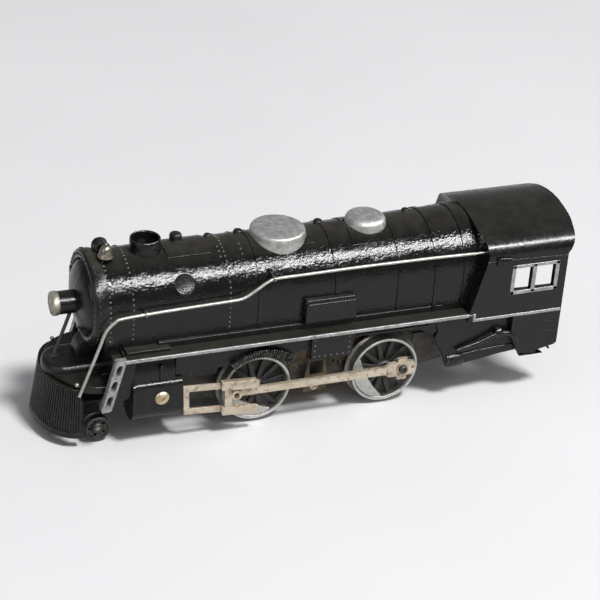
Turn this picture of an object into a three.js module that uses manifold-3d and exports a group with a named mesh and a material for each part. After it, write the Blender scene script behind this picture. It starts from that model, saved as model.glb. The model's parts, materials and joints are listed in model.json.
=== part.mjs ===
// Toy steam locomotive for three-rail track of 31.75 mm gauge.
// Millimetres. +X is forward, +Y is the engine's left, +Z is up, z = 0 is the plane under the wheel flanges.
// Shapes are written in the wheelbase frame, whose x = 0 is midway between the two driving axles.

import * as THREE from 'three';
import { mergeVertices } from 'three/addons/utils/BufferGeometryUtils.js';
import Module from 'manifold-3d';

const wasm = await Module();
wasm.setup();

// ---------------------------------------------------------------- driving dimensions

const MIDPOINT_X = -0.62; // wheelbase midpoint, from the middle of the whole engine's length
const GAP = 0.3; // clearance between pieces that meet

const HALF_WHEELBASE = 26.4;
const DRIVER = { tread: 13.7, flange: 14.9, back: 14, step: 15.3, face: 19.5 };
const AXLE_R = 1.6;
const CRANK = { throw: 6.2, angle: 166 }; // degrees from +X towards +Z
const WEIGHT_ANGLE = { rear: 330, front: 297 };
const TRUCK_WHEEL = { tread: 4.9, flange: 5.8, back: 14, step: 15.1, face: 18 };
const PILOT_TRUCK = { pivotX: 64, axleX: 88 };

const BOILER_Z = 52.6;
const BOILER = [[-60, 19.3], [-29, 18.2], [2, 17.8], [58, 17.4], [86, 17.4]]; // x, radius
const BOILER_WALL = 2.6;
const SMOKEBOX_RING = { x0: 85.5, x1: 89.7, radius: 18.2, bore: 14.8 };
const HEADLIGHT = { z: 51.5, radius: 4.4, bore: 3.7, x1: 101.3 };
const BOARD = { x0: -60, x1: 81, halfWidth: 25, z0: 36.2, z1: 38.2 };
const CAB = { front: -57, rear: -97.2, halfWidth: 25, floor: 16, wall: 2.2 };
const ROOF = { front: -59.6, rear: -101.8, z: 72.4 };
const WINDOW = { z0: 46.6, z1: 56.2, panes: [[-82.6, -75.4], [-92, -84.4]] };
const DECK = { z0: 23, z1: 25.9, halfWidth: 21, noseX: 85.5, nose: 19 };
const RAISED_DECK = { z1: 29, halfWidth: 9.1, x0: 82, noseX: 96.5, nose: 8.6, step: 1.3 };
const PILOT = { x0: 94.6, reach: 10, halfWidth: 18, z0: 4, flare: 0.32 };
const CYLINDER = { x0: 57.8, x1: 77, y0: 12, y1: 24, z0: 9.6, z1: 26.4, screw: { x: 65.6, z: 19.7 } };
const GUIDE = { slopeDeg: 3.2, x: 57.4, z: 16.9, outer: 6.3, bar: 2.6, length: 25 };
const ROD_Y = [21.5, 22.8];
const CROSSHEAD_PIN = { x: 36, z: 16 };

const MOTOR = { plateIn: 9.4, plateOut: 10.6, z0: 6, z1: 38, halfLength: 41, lug: 57 };
const ARMATURE_Z = 27;
const GEAR_Y = [11.4, 13.2];
const TOOTH = 0.8; // gear module
const TEETH = { driver: 26, idler: 20, pinion: 8 };
const IDLER = { x: 11.02, z: 25 };

const AXLE_Z = DRIVER.flange;

// ---------------------------------------------------------------- finishes

function finish(color, roughness, metalness) {
  return new THREE.MeshStandardMaterial({ color, roughness, metalness });
}

const blackEnamel = finish(0x16150f, 0.35, 0.1);
const silverPaint = finish(0xb4b6b4, 0.5, 0.4);
const tinned = finish(0xb9ab90, 0.5, 0.8);
const brass = finish(0xb08a45, 0.35, 0.9);
const steel = finish(0x8b8d8f, 0.35, 0.9);
const blackWheel = finish(0x1b1b1a, 0.6, 0.3);
const fibre = finish(0x6b3a22, 0.8, 0);
const copper = finish(0x9a4f2a, 0.4, 0.8);
const glass = finish(0xe8e0c8, 0.2, 0);

// ---------------------------------------------------------------- solids

// A closed geometry as a manifold solid, turned right side out.
function solid(geometry) {
  const bare = geometry.clone();
  bare.deleteAttribute('normal');
  bare.deleteAttribute('uv');
  const merged = mergeVertices(bare, 1e-4);
  const at = merged.attributes.position.array;
  const index = Uint32Array.from(merged.index.array);
  let volume = 0;
  for (let i = 0; i < index.length; i += 3) {
    const [a, b, c] = [0, 1, 2].map((k) => new THREE.Vector3().fromArray(at, 3 * index[i + k]));
    volume += a.dot(b.cross(c));
  }
  if (volume < 0) {
    for (let i = 0; i < index.length; i += 3) {
      [index[i], index[i + 1]] = [index[i + 1], index[i]];
    }
  }
  const mesh = new wasm.Mesh({ numProp: 3, vertProperties: Float32Array.from(at), triVerts: index });
  return new wasm.Manifold(mesh);
}

function geometryOf(shape) {
  const mesh = shape.getMesh();
  const geometry = new THREE.BufferGeometry();
  geometry.setAttribute('position', new THREE.BufferAttribute(mesh.vertProperties, 3));
  geometry.setIndex(new THREE.BufferAttribute(mesh.triVerts, 1));
  geometry.computeVertexNormals();
  return geometry;
}

const union = (first, ...rest) => rest.reduce((sum, next) => sum.add(next), first);
const cut = (first, ...rest) => rest.reduce((left, next) => left.subtract(next), first);

function box(x0, x1, y0, y1, z0, z1) {
  const geometry = new THREE.BoxGeometry(x1 - x0, y1 - y0, z1 - z0);
  return solid(geometry.translate((x0 + x1) / 2, (y0 + y1) / 2, (z0 + z1) / 2));
}

const outline = (points) => new THREE.Shape(points.map(([a, b]) => new THREE.Vector2(a, b)));

function extruded(shape, depth, curveSegments = 12) {
  const source = shape instanceof THREE.Shape ? shape : outline(shape);
  return new THREE.ExtrudeGeometry(source, { depth, bevelEnabled: false, curveSegments });
}

// An x-z outline between two y values.
function slabXZ(shape, y0, y1, segments) {
  return solid(extruded(shape, y1 - y0, segments).rotateX(Math.PI / 2).translate(0, y1, 0));
}

// An x-y outline between two heights.
function slabXY(shape, z0, z1, segments) {
  return solid(extruded(shape, z1 - z0, segments).translate(0, 0, z0));
}

// A y-z outline between two x values.
function slabYZ(shape, x0, x1, segments) {
  const turn = new THREE.Matrix4().makeBasis(
    new THREE.Vector3(0, 1, 0), new THREE.Vector3(0, 0, 1), new THREE.Vector3(1, 0, 0));
  return solid(extruded(shape, x1 - x0, segments).applyMatrix4(turn).translate(x0, 0, 0));
}

function lathe(profile, segments) {
  const points = profile.map(([radius, along]) => new THREE.Vector2(radius, along));
  return new THREE.LatheGeometry(points, segments);
}

// Turned pieces, from radius and distance along the axis.
function turnedX(profile, z, segments = 32) {
  return solid(lathe(profile, segments).rotateZ(-Math.PI / 2).translate(0, 0, z));
}

function turnedY(profile, x, z, segments = 32) {
  return solid(lathe(profile, segments).translate(x, 0, z));
}

function turnedZ(profile, x, y, segments = 32) {
  return solid(lathe(profile, segments).rotateX(Math.PI / 2).translate(x, y, 0));
}

const rod = (radius, from, to) => [[0, from], [radius, from], [radius, to], [0, to]];
const tube = (outer, bore, from, to) => [[bore, from], [outer, from], [outer, to], [bore, to], [bore, from]];

// A round bar between two points.
function bar(from, to, radius, sides = 10) {
  const start = new THREE.Vector3(...from);
  const along = new THREE.Vector3(...to).sub(start);
  const geometry = new THREE.CylinderGeometry(radius, radius, along.length(), sides);
  geometry.translate(0, along.length() / 2, 0);
  const up = new THREE.Vector3(0, 1, 0);
  const turn = new THREE.Quaternion().setFromUnitVectors(up, along.clone().normalize());
  return solid(geometry.applyQuaternion(turn).translate(start.x, start.y, start.z));
}

const mirrored = (shape) => shape.mirror([0, 1, 0]);
const bothSides = (shape) => shape.add(mirrored(shape));

// ---------------------------------------------------------------- boiler casting

const boilerProfile = (inset, x0, x1) => [
  [0, x0],
  ...BOILER.map(([x, radius], i) => [radius - inset, i === 0 ? x0 : i === BOILER.length - 1 ? x1 : x]),
  [0, x1],
];

function boilerBarrel(inset, x0, x1, segments = 48) {
  return turnedX(boilerProfile(inset, x0, x1), BOILER_Z, segments);
}

function boilerRadius(x) {
  const next = BOILER.findIndex(([station]) => station >= x);
  const [[x0, r0], [x1, r1]] = [BOILER[next - 1], BOILER[next]];
  return THREE.MathUtils.mapLinear(x, x0, x1, r0, r1);
}

// The straight sides below the boiler's widest line.
function boilerSkirt(inset, x0, x1, z0) {
  const side = BOILER.map(([x, radius]) => [Math.min(Math.max(x, x0), x1), radius - inset]);
  const plan = [...side, ...side.map(([x, y]) => [x, -y]).reverse()];
  return slabXY(plan, z0, BOILER_Z);
}

// The cab's section, with rounded eaves and an arched roof.
function cabSection(inset, floor) {
  const half = CAB.halfWidth - inset;
  const eave = 60.5;
  const top = ROOF.z - inset;
  const shape = new THREE.Shape();
  shape.moveTo(-half, floor);
  shape.lineTo(half, floor);
  shape.lineTo(half, eave);
  shape.quadraticCurveTo(half, eave + 5 - inset / 2, half - 5, eave + 7.2 - inset);
  shape.quadraticCurveTo(half / 2.6, top, 0, top);
  shape.quadraticCurveTo(-half / 2.6, top, 5 - half, eave + 7.2 - inset);
  shape.quadraticCurveTo(-half, eave + 5 - inset / 2, -half, eave);
  return shape;
}

function cabShell() {
  const body = slabYZ(cabSection(0, CAB.floor), CAB.rear, CAB.front, 8);
  const roof = slabYZ(cabSection(0, 59), ROOF.rear, ROOF.front, 8);
  const lean = slabXZ([[-55.3, 42], [-61, 62], [-61, 66], [-50, 66], [-50, 42]], 19.3, 30);
  const ahead = bothSides(lean).add(box(ROOF.front, -50, -30, 30, 66, 90));
  const room = slabYZ(cabSection(CAB.wall, -1), -110, CAB.front - CAB.wall, 8);
  const hollow = room.subtract(ahead.translate([-CAB.wall, 0, 0]));
  const underFirebox = box(-80, CAB.front + 1, -30, 30, 0, 34.6);
  return cut(body.subtract(ahead).add(roof), hollow, underFirebox);
}

// One side's work below the running board: firebox side with its boss, hanger plate and wheel guard.
function lowerSide() {
  const firebox = slabXZ([[-44, 37], [-45, 28], [-51, 14], [-66, 15.6], [-82, 18], [-82, 37]], 20.6, 22.8);
  const boss = turnedX(rod(3.5, -58, -51.4), 16.8, 20).translate([0, 20.6, 0]);
  const hanger = box(-9.8, 6.8, 22.8, 24.2, 26.4, 37);
  const guard = new THREE.Shape();
  const [inner, outer] = [16.3, 18.4];
  guard.absarc(HALF_WHEELBASE, AXLE_Z, outer, 0.27 * Math.PI, 0.74 * Math.PI, false);
  guard.absarc(HALF_WHEELBASE, AXLE_Z, inner, 0.74 * Math.PI, 0.27 * Math.PI, true);
  const bracket = box(22, 31, 21, 23, 32, 37);
  return union(firebox, boss, hanger, slabXZ(guard, 20.6, 24, 10), bracket);
}

// One side's cylinder block, valve chest, front apron and step ladder.
function cylinderSide() {
  const { x0, x1, y0, y1, z0, z1, screw } = CYLINDER;
  const chamfer = 3;
  const section = [
    [y0, z0 + 4], [y0 + 4, z0], [y1 - chamfer, z0], [y1, z0 + chamfer],
    [y1, z1 - 1], [y1 - 1, z1], [y0, z1],
  ];
  const block = slabYZ(section, x0, x1);
  const chest = box(60, 76.5, y0, 22.4, 26, 37);
  const apron = slabXZ([[60, 37], [80, 37], [86.5, 19.4], [76, 21.5], [76, 28], [60, 28]], 20.8, 23);
  const screwHole = turnedY(rod(1.7, 17.5, 30), screw.x, screw.z, 12);
  return union(block, chest, apron, stepLadder()).subtract(screwHole);
}

function stepLadder() {
  const top = [79.7, 38.2];
  const bottom = [85.2, 17];
  const width = 3.9;
  const frontEdge = [[bottom[0] + width, bottom[1] + 0.4], [top[0] + width, top[1]]];
  const rail = slabXZ([top, bottom, ...frontEdge], 22, 24.6);
  const slots = [0.1, 0.4, 0.7].map((start) => {
    const at = (t, across) => [
      THREE.MathUtils.lerp(top[0], bottom[0], t) + across,
      THREE.MathUtils.lerp(top[1], bottom[1], t),
    ];
    return slabXZ([at(start, 1.1), at(start + 0.22, 1.1), at(start + 0.22, 2.9), at(start, 2.9)], 21, 26);
  });
  return cut(rail, ...slots);
}

function noseOutline(halfWidth, x0, noseX, nose) {
  const shape = new THREE.Shape();
  shape.moveTo(x0, -halfWidth);
  shape.lineTo(noseX, -halfWidth);
  shape.absellipse(noseX, 0, nose, halfWidth, -Math.PI / 2, Math.PI / 2, false);
  shape.lineTo(x0, halfWidth);
  return shape;
}

function raisedDeck() {
  const { z1, halfWidth, x0, noseX, nose, step } = RAISED_DECK;
  const lower = slabXY(noseOutline(halfWidth, x0, noseX, nose), DECK.z0, z1 - step, 10);
  return lower.add(slabXY(noseOutline(halfWidth - step, x0, noseX, nose - step), DECK.z0, z1, 10));
}

function boilerCasting() {
  const rear = CAB.front - 4;
  const deckNose = noseOutline(DECK.halfWidth, 76, DECK.noseX, DECK.nose);
  const pedestal = [[80, 26], [93.4, 26], [93.2, 32], [91, 36], [89.5, 37.6], [80, 38]];
  const outer = union(
    boilerBarrel(0, rear, SMOKEBOX_RING.x0 + 0.5),
    turnedX(rod(SMOKEBOX_RING.radius, SMOKEBOX_RING.x0, SMOKEBOX_RING.x1), BOILER_Z, 48),
    boilerSkirt(0, rear, 80, BOARD.z0),
    box(BOARD.x0, BOARD.x1, -BOARD.halfWidth, BOARD.halfWidth, BOARD.z0, BOARD.z1),
    bothSides(lowerSide()),
    bothSides(cylinderSide()),
    box(60, 84, -14, 14, 20, 38),
    slabXZ(pedestal, -3.8, 3.8),
    slabXY(deckNose, DECK.z0, DECK.z1, 12),
    raisedDeck(),
  );
  const crossbar = box(-86, -80, -23.5, 23.5, 22, 26);
  const windows = WINDOW.panes.map(([x0, x1]) => box(x0, x1, -30, 30, WINDOW.z0, WINDOW.z1));
  const hollows = union(
    boilerBarrel(BOILER_WALL, rear - 4, 87, 32),
    turnedX(rod(SMOKEBOX_RING.bore, 80, 95), BOILER_Z, 32),
    boilerSkirt(BOILER_WALL, rear - 4, 56, -1),
  );
  const pivotHole = turnedZ(rod(1.9, 15, 26), PILOT_TRUCK.pivotX, 0, 12);
  return cut(cut(outer, hollows).add(cabShell()).add(crossbar), pivotHole, ...windows);
}

// ---------------------------------------------------------------- boiler fittings

const boilerSkin = union(
  boilerBarrel(-GAP, -60, SMOKEBOX_RING.x0),
  turnedX(rod(SMOKEBOX_RING.radius + GAP, SMOKEBOX_RING.x0 - GAP, SMOKEBOX_RING.x1), BOILER_Z, 48),
);

function boilerFront() {
  const rim = SMOKEBOX_RING.bore - GAP;
  const dome = [[0, 84.5], [rim, 84.5], [rim, 89], [13, 90.6], [10.5, 92.1], [7, 93.1], [0, 93.4]];
  const plate = turnedX(dome, BOILER_Z, 36);
  const barrel = turnedX(rod(HEADLIGHT.radius, 86, HEADLIGHT.x1), HEADLIGHT.z, 28);
  const bore = turnedX(rod(HEADLIGHT.bore, 92.5, 110), HEADLIGHT.z, 28);
  return cut(plate.add(barrel), bore);
}

function headlightLens() {
  return turnedX([[0, 99.8], [3.4, 99.8], [3.4, 101], [2.4, 101.8], [0, 102.1]], HEADLIGHT.z, 24);
}

function headlightBulb() {
  return turnedX([[0, 93], [1.5, 93], [1.5, 95], [2.6, 96.6], [1.8, 98.4], [0, 99]], HEADLIGHT.z, 16);
}

function smokestack() {
  const cup = [[0, 60], [5.8, 60], [5.8, 74.8], [4.8, 74.8], [4.8, 68], [0, 68]];
  return turnedZ(cup, 66.5, 0, 28).subtract(boilerSkin);
}

function sandDome() {
  const profile = [[0, 60], [11.5, 60], [11.5, 67], [10.9, 67.6], [10.9, 71.2], [9.9, 72.2], [0, 72.6]];
  return turnedZ(profile, 14.5, 0, 32).subtract(boilerSkin);
}

function steamDome() {
  const profile = [[0, 60], [8.4, 60], [8.4, 71.4], [7.6, 72.8], [5.6, 74], [3, 74.6], [0, 74.8]];
  return turnedZ(profile, -21.2, 0, 32).subtract(boilerSkin);
}

function bell() {
  const profile = [
    [0, 66], [0.9, 66], [0.9, 71.3], [2.6, 71.3], [2.6, 72.2],
    [2.3, 74.2], [1.5, 75.8], [0.7, 76.6], [0, 76.8],
  ];
  return turnedZ(profile, 82.9, 4.5, 16).subtract(boilerSkin);
}

function turboGenerator() {
  return turnedY(rod(3.2, -5.4, 0.2), 82.6, 71.3, 20).subtract(boilerSkin);
}

// ---------------------------------------------------------------- handrail and brace

const RAIL_R = 0.65;
const RAIL_ROUTE = [
  [-59.2, 20.5, 62.4], [-40, 20.5, 62.8], [-11.4, 20.5, 62.9], [12, 20.5, 62.6], [22, 20.5, 62.4],
  [25.2, 20.5, 61.3], [28.8, 20.5, 59], [32.4, 20.5, 56.7], [35.6, 20.5, 55.5], [41, 20.5, 55.2],
  [61.9, 20.5, 54.6], [80.1, 20.5, 53.7], [83.6, 20.5, 52.4], [86.4, 20.5, 49.6],
  [87.8, 20.5, 46.6], [89.2, 20.5, 42.3], [96.3, 20.5, 22.9],
];
const POSTS = { front: [71.7, 54.1], middle: [22.6, 62.3] }; // x and z

function handrail() {
  const path = new THREE.CatmullRomCurve3(RAIL_ROUTE.map((point) => new THREE.Vector3(...point)));
  const section = new THREE.Shape().absarc(0, 0, RAIL_R, 0, 2 * Math.PI, false);
  const options = { extrudePath: path, steps: 2 * RAIL_ROUTE.length, curveSegments: 4, bevelEnabled: false };
  return solid(new THREE.ExtrudeGeometry(section, options));
}

function railPost([x, z]) {
  const flange = 1.1;
  const foot = Math.sqrt(boilerRadius(x) ** 2 - (z - flange - BOILER_Z) ** 2) + GAP;
  const tip = 20.5 - RAIL_R - GAP;
  const base = [[0, foot], [flange, foot], [flange, foot + 0.5], [0.6, foot + 0.7]];
  return turnedY([...base, [0.6, tip], [0, tip]], x, z, 10);
}

const frontBrace = () => bar([94.7, 0, 46.1], [100.5, 0, RAISED_DECK.z1 + GAP], 0.7);

// ---------------------------------------------------------------- pilot

function pilot() {
  const { x0, reach, halfWidth, z0 } = PILOT;
  const z1 = DECK.z0 - GAP;
  const ring = (inset, low, high) => {
    return slabXY(noseOutline(halfWidth - inset, x0 - 0.1, x0, reach - inset), low, high, 12);
  };
  const shell = cut(ring(0, z0, z1), ring(2.2, z0 - 1, z1 - 1.8));
  const slots = [];
  for (let degrees = -78; degrees <= 78; degrees += 12) {
    const slot = box(0, 40, -0.75, 0.75, z0 + 2.4, z1 - 3.6).rotate([0, 0, degrees]).translate([x0, 0, 0]);
    slots.push(slot);
  }
  return flared(cut(shell, ...slots), x0, z0, z1);
}

// Widens a solid towards its foot.
function flared(shape, x0, z0, z1) {
  return shape.warp((point) => {
    const spread = 1 + PILOT.flare * (z1 - point[2]) / (z1 - z0);
    point[0] = x0 + (point[0] - x0) * spread;
    point[1] *= 1 + (spread - 1) * 0.25;
  });
}

// ---------------------------------------------------------------- guides, crossheads and main rods

// From distance along the cylinder axis and height across it to x and z.
function alongGuide([along, across]) {
  const slope = THREE.MathUtils.degToRad(GUIDE.slopeDeg);
  return [
    GUIDE.x - along * Math.cos(slope) + across * Math.sin(slope),
    GUIDE.z - along * Math.sin(slope) + across * Math.cos(slope),
  ];
}

const guidePlate = (points, y0, y1) => slabXZ(points.map(alongGuide), y0, y1);

function crossheadGuide() {
  const { outer, bar: width, length } = GUIDE;
  const inner = outer - width;
  const yoke = [
    [0.3, -outer], [length, -outer], [length, -inner], [2.6, -inner],
    [2.6, inner], [length, inner], [length, outer], [0.3, outer],
  ];
  return guidePlate(yoke, 23.2, 24.1);
}

function crosshead() {
  const [front, rear] = [15, 30.2];
  const [low, high] = [3.6, 7.4];
  const slipper = guidePlate([[front, low], [rear, low], [rear, high], [front, high]], 24.4, 25.4);
  const lip = guidePlate([[front, 6.6], [rear, 6.6], [rear, high], [front, high]], 23.2, 25.4);
  const lowSlipper = guidePlate([[front, -low], [rear, -low], [rear, -high], [front, -high]], 24.4, 25.4);
  const lowLip = guidePlate([[front, -6.6], [rear, -6.6], [rear, -high], [front, -high]], 23.2, 25.4);
  const web = guidePlate([[16.2, -4], [19, -4], [19, 4], [16.2, 4]], 24.4, 25.4);
  const block = guidePlate([[16.2, -3.4], [19, -3.4], [19, 3.4], [16.2, 3.4]], 23.2, 25.4);
  return union(slipper, lip, lowSlipper, lowLip, web, block);
}

const crankPin = {
  x: -HALF_WHEELBASE + CRANK.throw * Math.cos(THREE.MathUtils.degToRad(CRANK.angle)),
  z: AXLE_Z + CRANK.throw * Math.sin(THREE.MathUtils.degToRad(CRANK.angle)),
};

// The rod runs forward from the crank pin to the crosshead.
function mainRod() {
  const length = CROSSHEAD_PIN.x - crankPin.x;
  const drop = Math.atan2(CROSSHEAD_PIN.z - crankPin.z, length);
  const [y0, y1] = ROD_Y;
  const shank = slabXZ([[4.8, -1.85], [length - 1, -1.5], [length - 1, 1.5], [4.8, 1.85]], y0, y1);
  const bigEnd = slabXZ([
    [-4.4, -3.1], [5.6, -3.1], [7.4, -1.8], [7.4, 1.8],
    [5.6, 3.1], [-4.4, 3.1], [-5.4, 1.6], [-5.4, -1.6],
  ], y0, y1);
  const oilCups = box(-1.9, 2.1, y0, y1, -4.6, 4.6);
  const smallEnd = turnedY(rod(2.2, y0, y1), length, 0, 20);
  const pinHole = turnedY(rod(1.75, y0 - 1, y1 + 1), 0, 0, 16);
  const eye = turnedY(rod(1, y0 - 1, y1 + 1), length, 0, 12);
  return cut(union(shank, bigEnd, oilCups, smallEnd), pinHole, eye)
    .rotate([0, -THREE.MathUtils.radToDeg(drop), 0])
    .translate([crankPin.x, 0, crankPin.z]);
}

function crankScrew() {
  const profile = [[0, 18.2], [1.6, 18.2], [1.6, 23.1], [2.5, 23.1], [2.5, 23.9], [1.9, 24.4], [0, 24.4]];
  return turnedY(profile, crankPin.x, crankPin.z, 16);
}

function cylinderScrew() {
  const profile = [[0, 18.5], [1.4, 18.5], [1.4, 24.3], [2.7, 24.3], [2.5, 25], [1.6, 25.4], [0, 25.5]];
  return turnedY(profile, CYLINDER.screw.x, CYLINDER.screw.z, 20);
}

// ---------------------------------------------------------------- wheels and axles

// A driving wheel on the left, with a recessed web and a counterweight.
function driver(x, weightAngle, pinned) {
  const { tread, flange, back, step, face } = DRIVER;
  const rim = 12.4;
  const wheel = turnedY([
    [AXLE_R + 0.15, back], [flange - 0.4, back], [flange, back + 0.6], [tread, step], [tread, face],
    [rim, face], [rim - 0.3, 17.6], [3.6, 17.6], [3.4, face], [AXLE_R + 0.15, face], [AXLE_R + 0.15, back],
  ], 0, 0, 36);
  const disc = turnedY(rod(rim + 0.2, 17.2, 19.2), 0, 0, 36);
  const weight = disc.intersect(box(7.4, 20, 17, 20, -20, 20)).rotate([0, -weightAngle, 0]);
  const boss = turnedY(rod(3, 17.2, face), CRANK.throw, 0, 16).rotate([0, -CRANK.angle, 0]);
  const pinHole = turnedY(rod(1.75, 16.8, 22), CRANK.throw, 0, 16).rotate([0, -CRANK.angle, 0]);
  const plain = wheel.add(weight);
  const finished = pinned ? plain.add(boss).subtract(pinHole) : plain;
  return finished.translate([x, 0, AXLE_Z]);
}

function truckWheel(x) {
  const { tread, flange, back, step, face } = TRUCK_WHEEL;
  const bore = 1.15;
  return turnedY([
    [bore, back], [flange, back], [flange, back + 0.7], [tread, step], [tread, face],
    [tread - 1, face - 1], [2.2, face - 1], [bore, face], [bore, back],
  ], x, flange, 20);
}

function drivingAxle(x) {
  return turnedY(rod(AXLE_R, -DRIVER.face + 0.2, DRIVER.face - 0.2), x, AXLE_Z, 20);
}

function truckAxle(x) {
  return turnedY(rod(1, -TRUCK_WHEEL.face + 0.2, TRUCK_WHEEL.face - 0.2), x, TRUCK_WHEEL.flange, 12);
}

// ---------------------------------------------------------------- gears

const pitchRadius = (teeth) => (TOOTH * teeth) / 2;

// Teeth with generous backlash, one of them centred on the angle `phase`.
function gear(teeth, bore, x, z, phase) {
  const pitch = (2 * Math.PI) / teeth;
  const [tip, root] = [pitchRadius(teeth) + 0.5, pitchRadius(teeth) - 0.85];
  const points = [];
  for (let i = 0; i < teeth; i += 1) {
    const middle = phase + i * pitch;
    for (const [radius, part] of [[root, -0.27], [tip, -0.11], [tip, 0.11], [root, 0.27]]) {
      const angle = middle + part * pitch;
      points.push([x + radius * Math.cos(angle), z + radius * Math.sin(angle)]);
    }
  }
  const [y0, y1] = GEAR_Y;
  return slabXZ(points, y0, y1).subtract(turnedY(rod(bore, y0 - 1, y1 + 1), x, z, 20));
}

const driverGear = (x, phase) => gear(TEETH.driver, AXLE_R + 0.15, x, AXLE_Z, phase);

// The phase of gear B, in mesh with gear A, where `toB` is the angle from A's centre to B's.
function meshedPhase(teethA, phaseA, toB, teethB) {
  const turnsA = ((toB - phaseA) * teethA) / (2 * Math.PI);
  return toB + Math.PI - ((0.5 - turnsA) * 2 * Math.PI) / teethB;
}

const idlerAngle = Math.atan2(IDLER.z - ARMATURE_Z, IDLER.x);
const driverAngle = Math.atan2(AXLE_Z - IDLER.z, HALF_WHEELBASE - IDLER.x);
const pinionPhase = Math.PI / 2;
const frontIdlerPhase = meshedPhase(TEETH.pinion, pinionPhase, idlerAngle, TEETH.idler);
const rearIdlerPhase = Math.PI - frontIdlerPhase;
const frontDriverPhase = meshedPhase(TEETH.idler, frontIdlerPhase, driverAngle, TEETH.driver);
const rearDriverPhase = Math.PI - frontDriverPhase;

// ---------------------------------------------------------------- motor

function motorPlate(studs) {
  const { plateIn, plateOut, z0, z1, halfLength, lug } = MOTOR;
  const plate = slabXZ([
    [-halfLength, z0 + 5], [-halfLength + 5, z0], [halfLength - 5, z0], [halfLength, z0 + 2], [lug, z0 + 3],
    [lug, 24], [halfLength, 24], [16, z1], [-16, z1], [-halfLength, 24],
  ], plateIn, plateOut);
  const bearing = (x) => turnedY(rod(AXLE_R + 0.15, 5, 15), x, AXLE_Z, 20);
  const shaftHole = turnedY(rod(1.2, 5, 15), 0, ARMATURE_Z, 16);
  const idlerStuds = [-IDLER.x, IDLER.x].map((x) => turnedY(rod(1.3, 10, 13.6), x, IDLER.z, 16));
  const brushHoles = [-4, 4].map((dx) => turnedY(rod(1.6, 5, 15), dx, ARMATURE_Z, 12));
  const bored = cut(plate, bearing(-HALF_WHEELBASE), bearing(HALF_WHEELBASE), shaftHole);
  return studs ? union(bored, ...idlerStuds) : mirrored(cut(bored, ...brushHoles));
}

function fieldCore() {
  const frame = box(-13, 13, -6, 6, 17, 46);
  const bore = turnedY(rod(9.3, -10, 10), 0, ARMATURE_Z, 28);
  return cut(frame, bore, box(-7.2, 7.2, -10, 10, 35, 42));
}

const fieldCoil = () => cut(box(-6.6, 6.6, -9, 9, 37.4, 50.4), box(-10, 10, -6.3, 6.3, 41.7, 46.3));

const armatureShaft = () => turnedY(rod(1, -13.4, 13.8), 0, ARMATURE_Z, 16);
const armatureCore = () => {
  const core = turnedY(tube(8.7, 1.15, -6, 6), 0, ARMATURE_Z, 24);
  const commutator = turnedY(tube(5.6, 1.15, -8.2, -5.9), 0, ARMATURE_Z, 24);
  const slots = [30, 150, 270].map((angle) => {
    return box(3.2, 12, -5.2, 5.2, -0.8, 0.8).rotate([0, angle, 0]).translate([0, 0, ARMATURE_Z]);
  });
  return cut(core.add(commutator), ...slots);
};

function brushPlate() {
  const plate = slabXZ([[-9, 20], [9, 20], [9, 32], [5, 35], [-5, 35], [-9, 32]], -12.8, -10.9);
  const tubes = [-4, 4].map((x) => turnedY(rod(2.3, -16, -12), x, ARMATURE_Z, 14));
  const bores = [-4, 4].map((x) => turnedY(rod(1.45, -20, -5), x, ARMATURE_Z, 12));
  const shaftHole = turnedY(rod(1.25, -20, -5), 0, ARMATURE_Z, 12);
  return cut(union(plate, ...tubes), ...bores, shaftHole);
}

const brush = (x) => turnedY(rod(1.25, -15.6, -8.5), x, ARMATURE_Z, 12);

function pickupPlate() {
  const holes = [-13, 13].map((x) => turnedZ(rod(1.3, 0, 12), x, 0, 12));
  return cut(box(-22, 22, -9, 9, 6.6, 8), ...holes);
}

function pickupShoe(x) {
  const runner = slabXZ([
    [x - 7.5, 2.2], [x - 5.5, 0.7], [x + 5.5, 0.7],
    [x + 7.5, 2.2], [x + 5.5, 2], [x - 5.5, 2],
  ], -3.5, 3.5);
  const stem = turnedZ(rod(1.1, 1.5, 9.6), x, 0, 12);
  return runner.add(stem);
}

// ---------------------------------------------------------------- pilot truck and drawbar

const EAR_Y = 8;

// A flat arm from its pivot to two ears that carry the axle.
function truckArm(pivotX, axleX) {
  const [z0, z1] = [11.6, 12.8];
  const out = Math.sign(axleX - pivotX);
  const half = [
    [pivotX - 3.6 * out, 2], [pivotX, 4], [axleX - 7 * out, 4.5],
    [axleX - 3 * out, EAR_Y + 1], [axleX + 3 * out, EAR_Y + 1],
  ];
  const plan = [...half, ...half.map(([x, y]) => [x, -y]).reverse()];
  const ear = box(axleX - 3, axleX + 3, EAR_Y, EAR_Y + 1, 3.6, z1);
  const bearing = turnedY(rod(1.15, -20, 20), axleX, TRUCK_WHEEL.flange, 12);
  return cut(slabXY(plan, z0, z1).add(bothSides(ear)), bearing);
}

function pilotTruckFrame() {
  const { pivotX, axleX } = PILOT_TRUCK;
  return truckArm(pivotX, axleX).subtract(turnedZ(rod(1.8, 5, 20), pivotX, 0, 12));
}

function pilotPivotScrew() {
  const profile = [[0, 9.6], [2.6, 9.8], [3, 10.4], [3, 11.3], [1.6, 11.3], [1.6, 24], [0, 24]];
  return turnedZ(profile, PILOT_TRUCK.pivotX, 0, 12);
}

// A flat strip whose tail steps down below the part that is held under the cab.
function drawbar() {
  const [thickness, rootZ, tailZ] = [1.3, 20.4, 19.8];
  const stepX = -88;
  const endX = -104;
  const [rootHalf, tailHalf, hole] = [4, 2.6, 1.3];
  const tail = new THREE.Shape();
  tail.moveTo(stepX + 1, -tailHalf);
  tail.lineTo(endX, -tailHalf);
  tail.absarc(endX, 0, tailHalf, -Math.PI / 2, -1.5 * Math.PI, true);
  tail.lineTo(stepX + 1, tailHalf);
  const root = box(stepX, -79, -rootHalf, rootHalf, rootZ, rootZ + thickness);
  const strip = root.add(slabXY(tail, tailZ, tailZ + thickness, 6));
  return strip.subtract(turnedZ(rod(hole, 10, 30), endX + 0.8, 0, 12));
}

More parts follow.
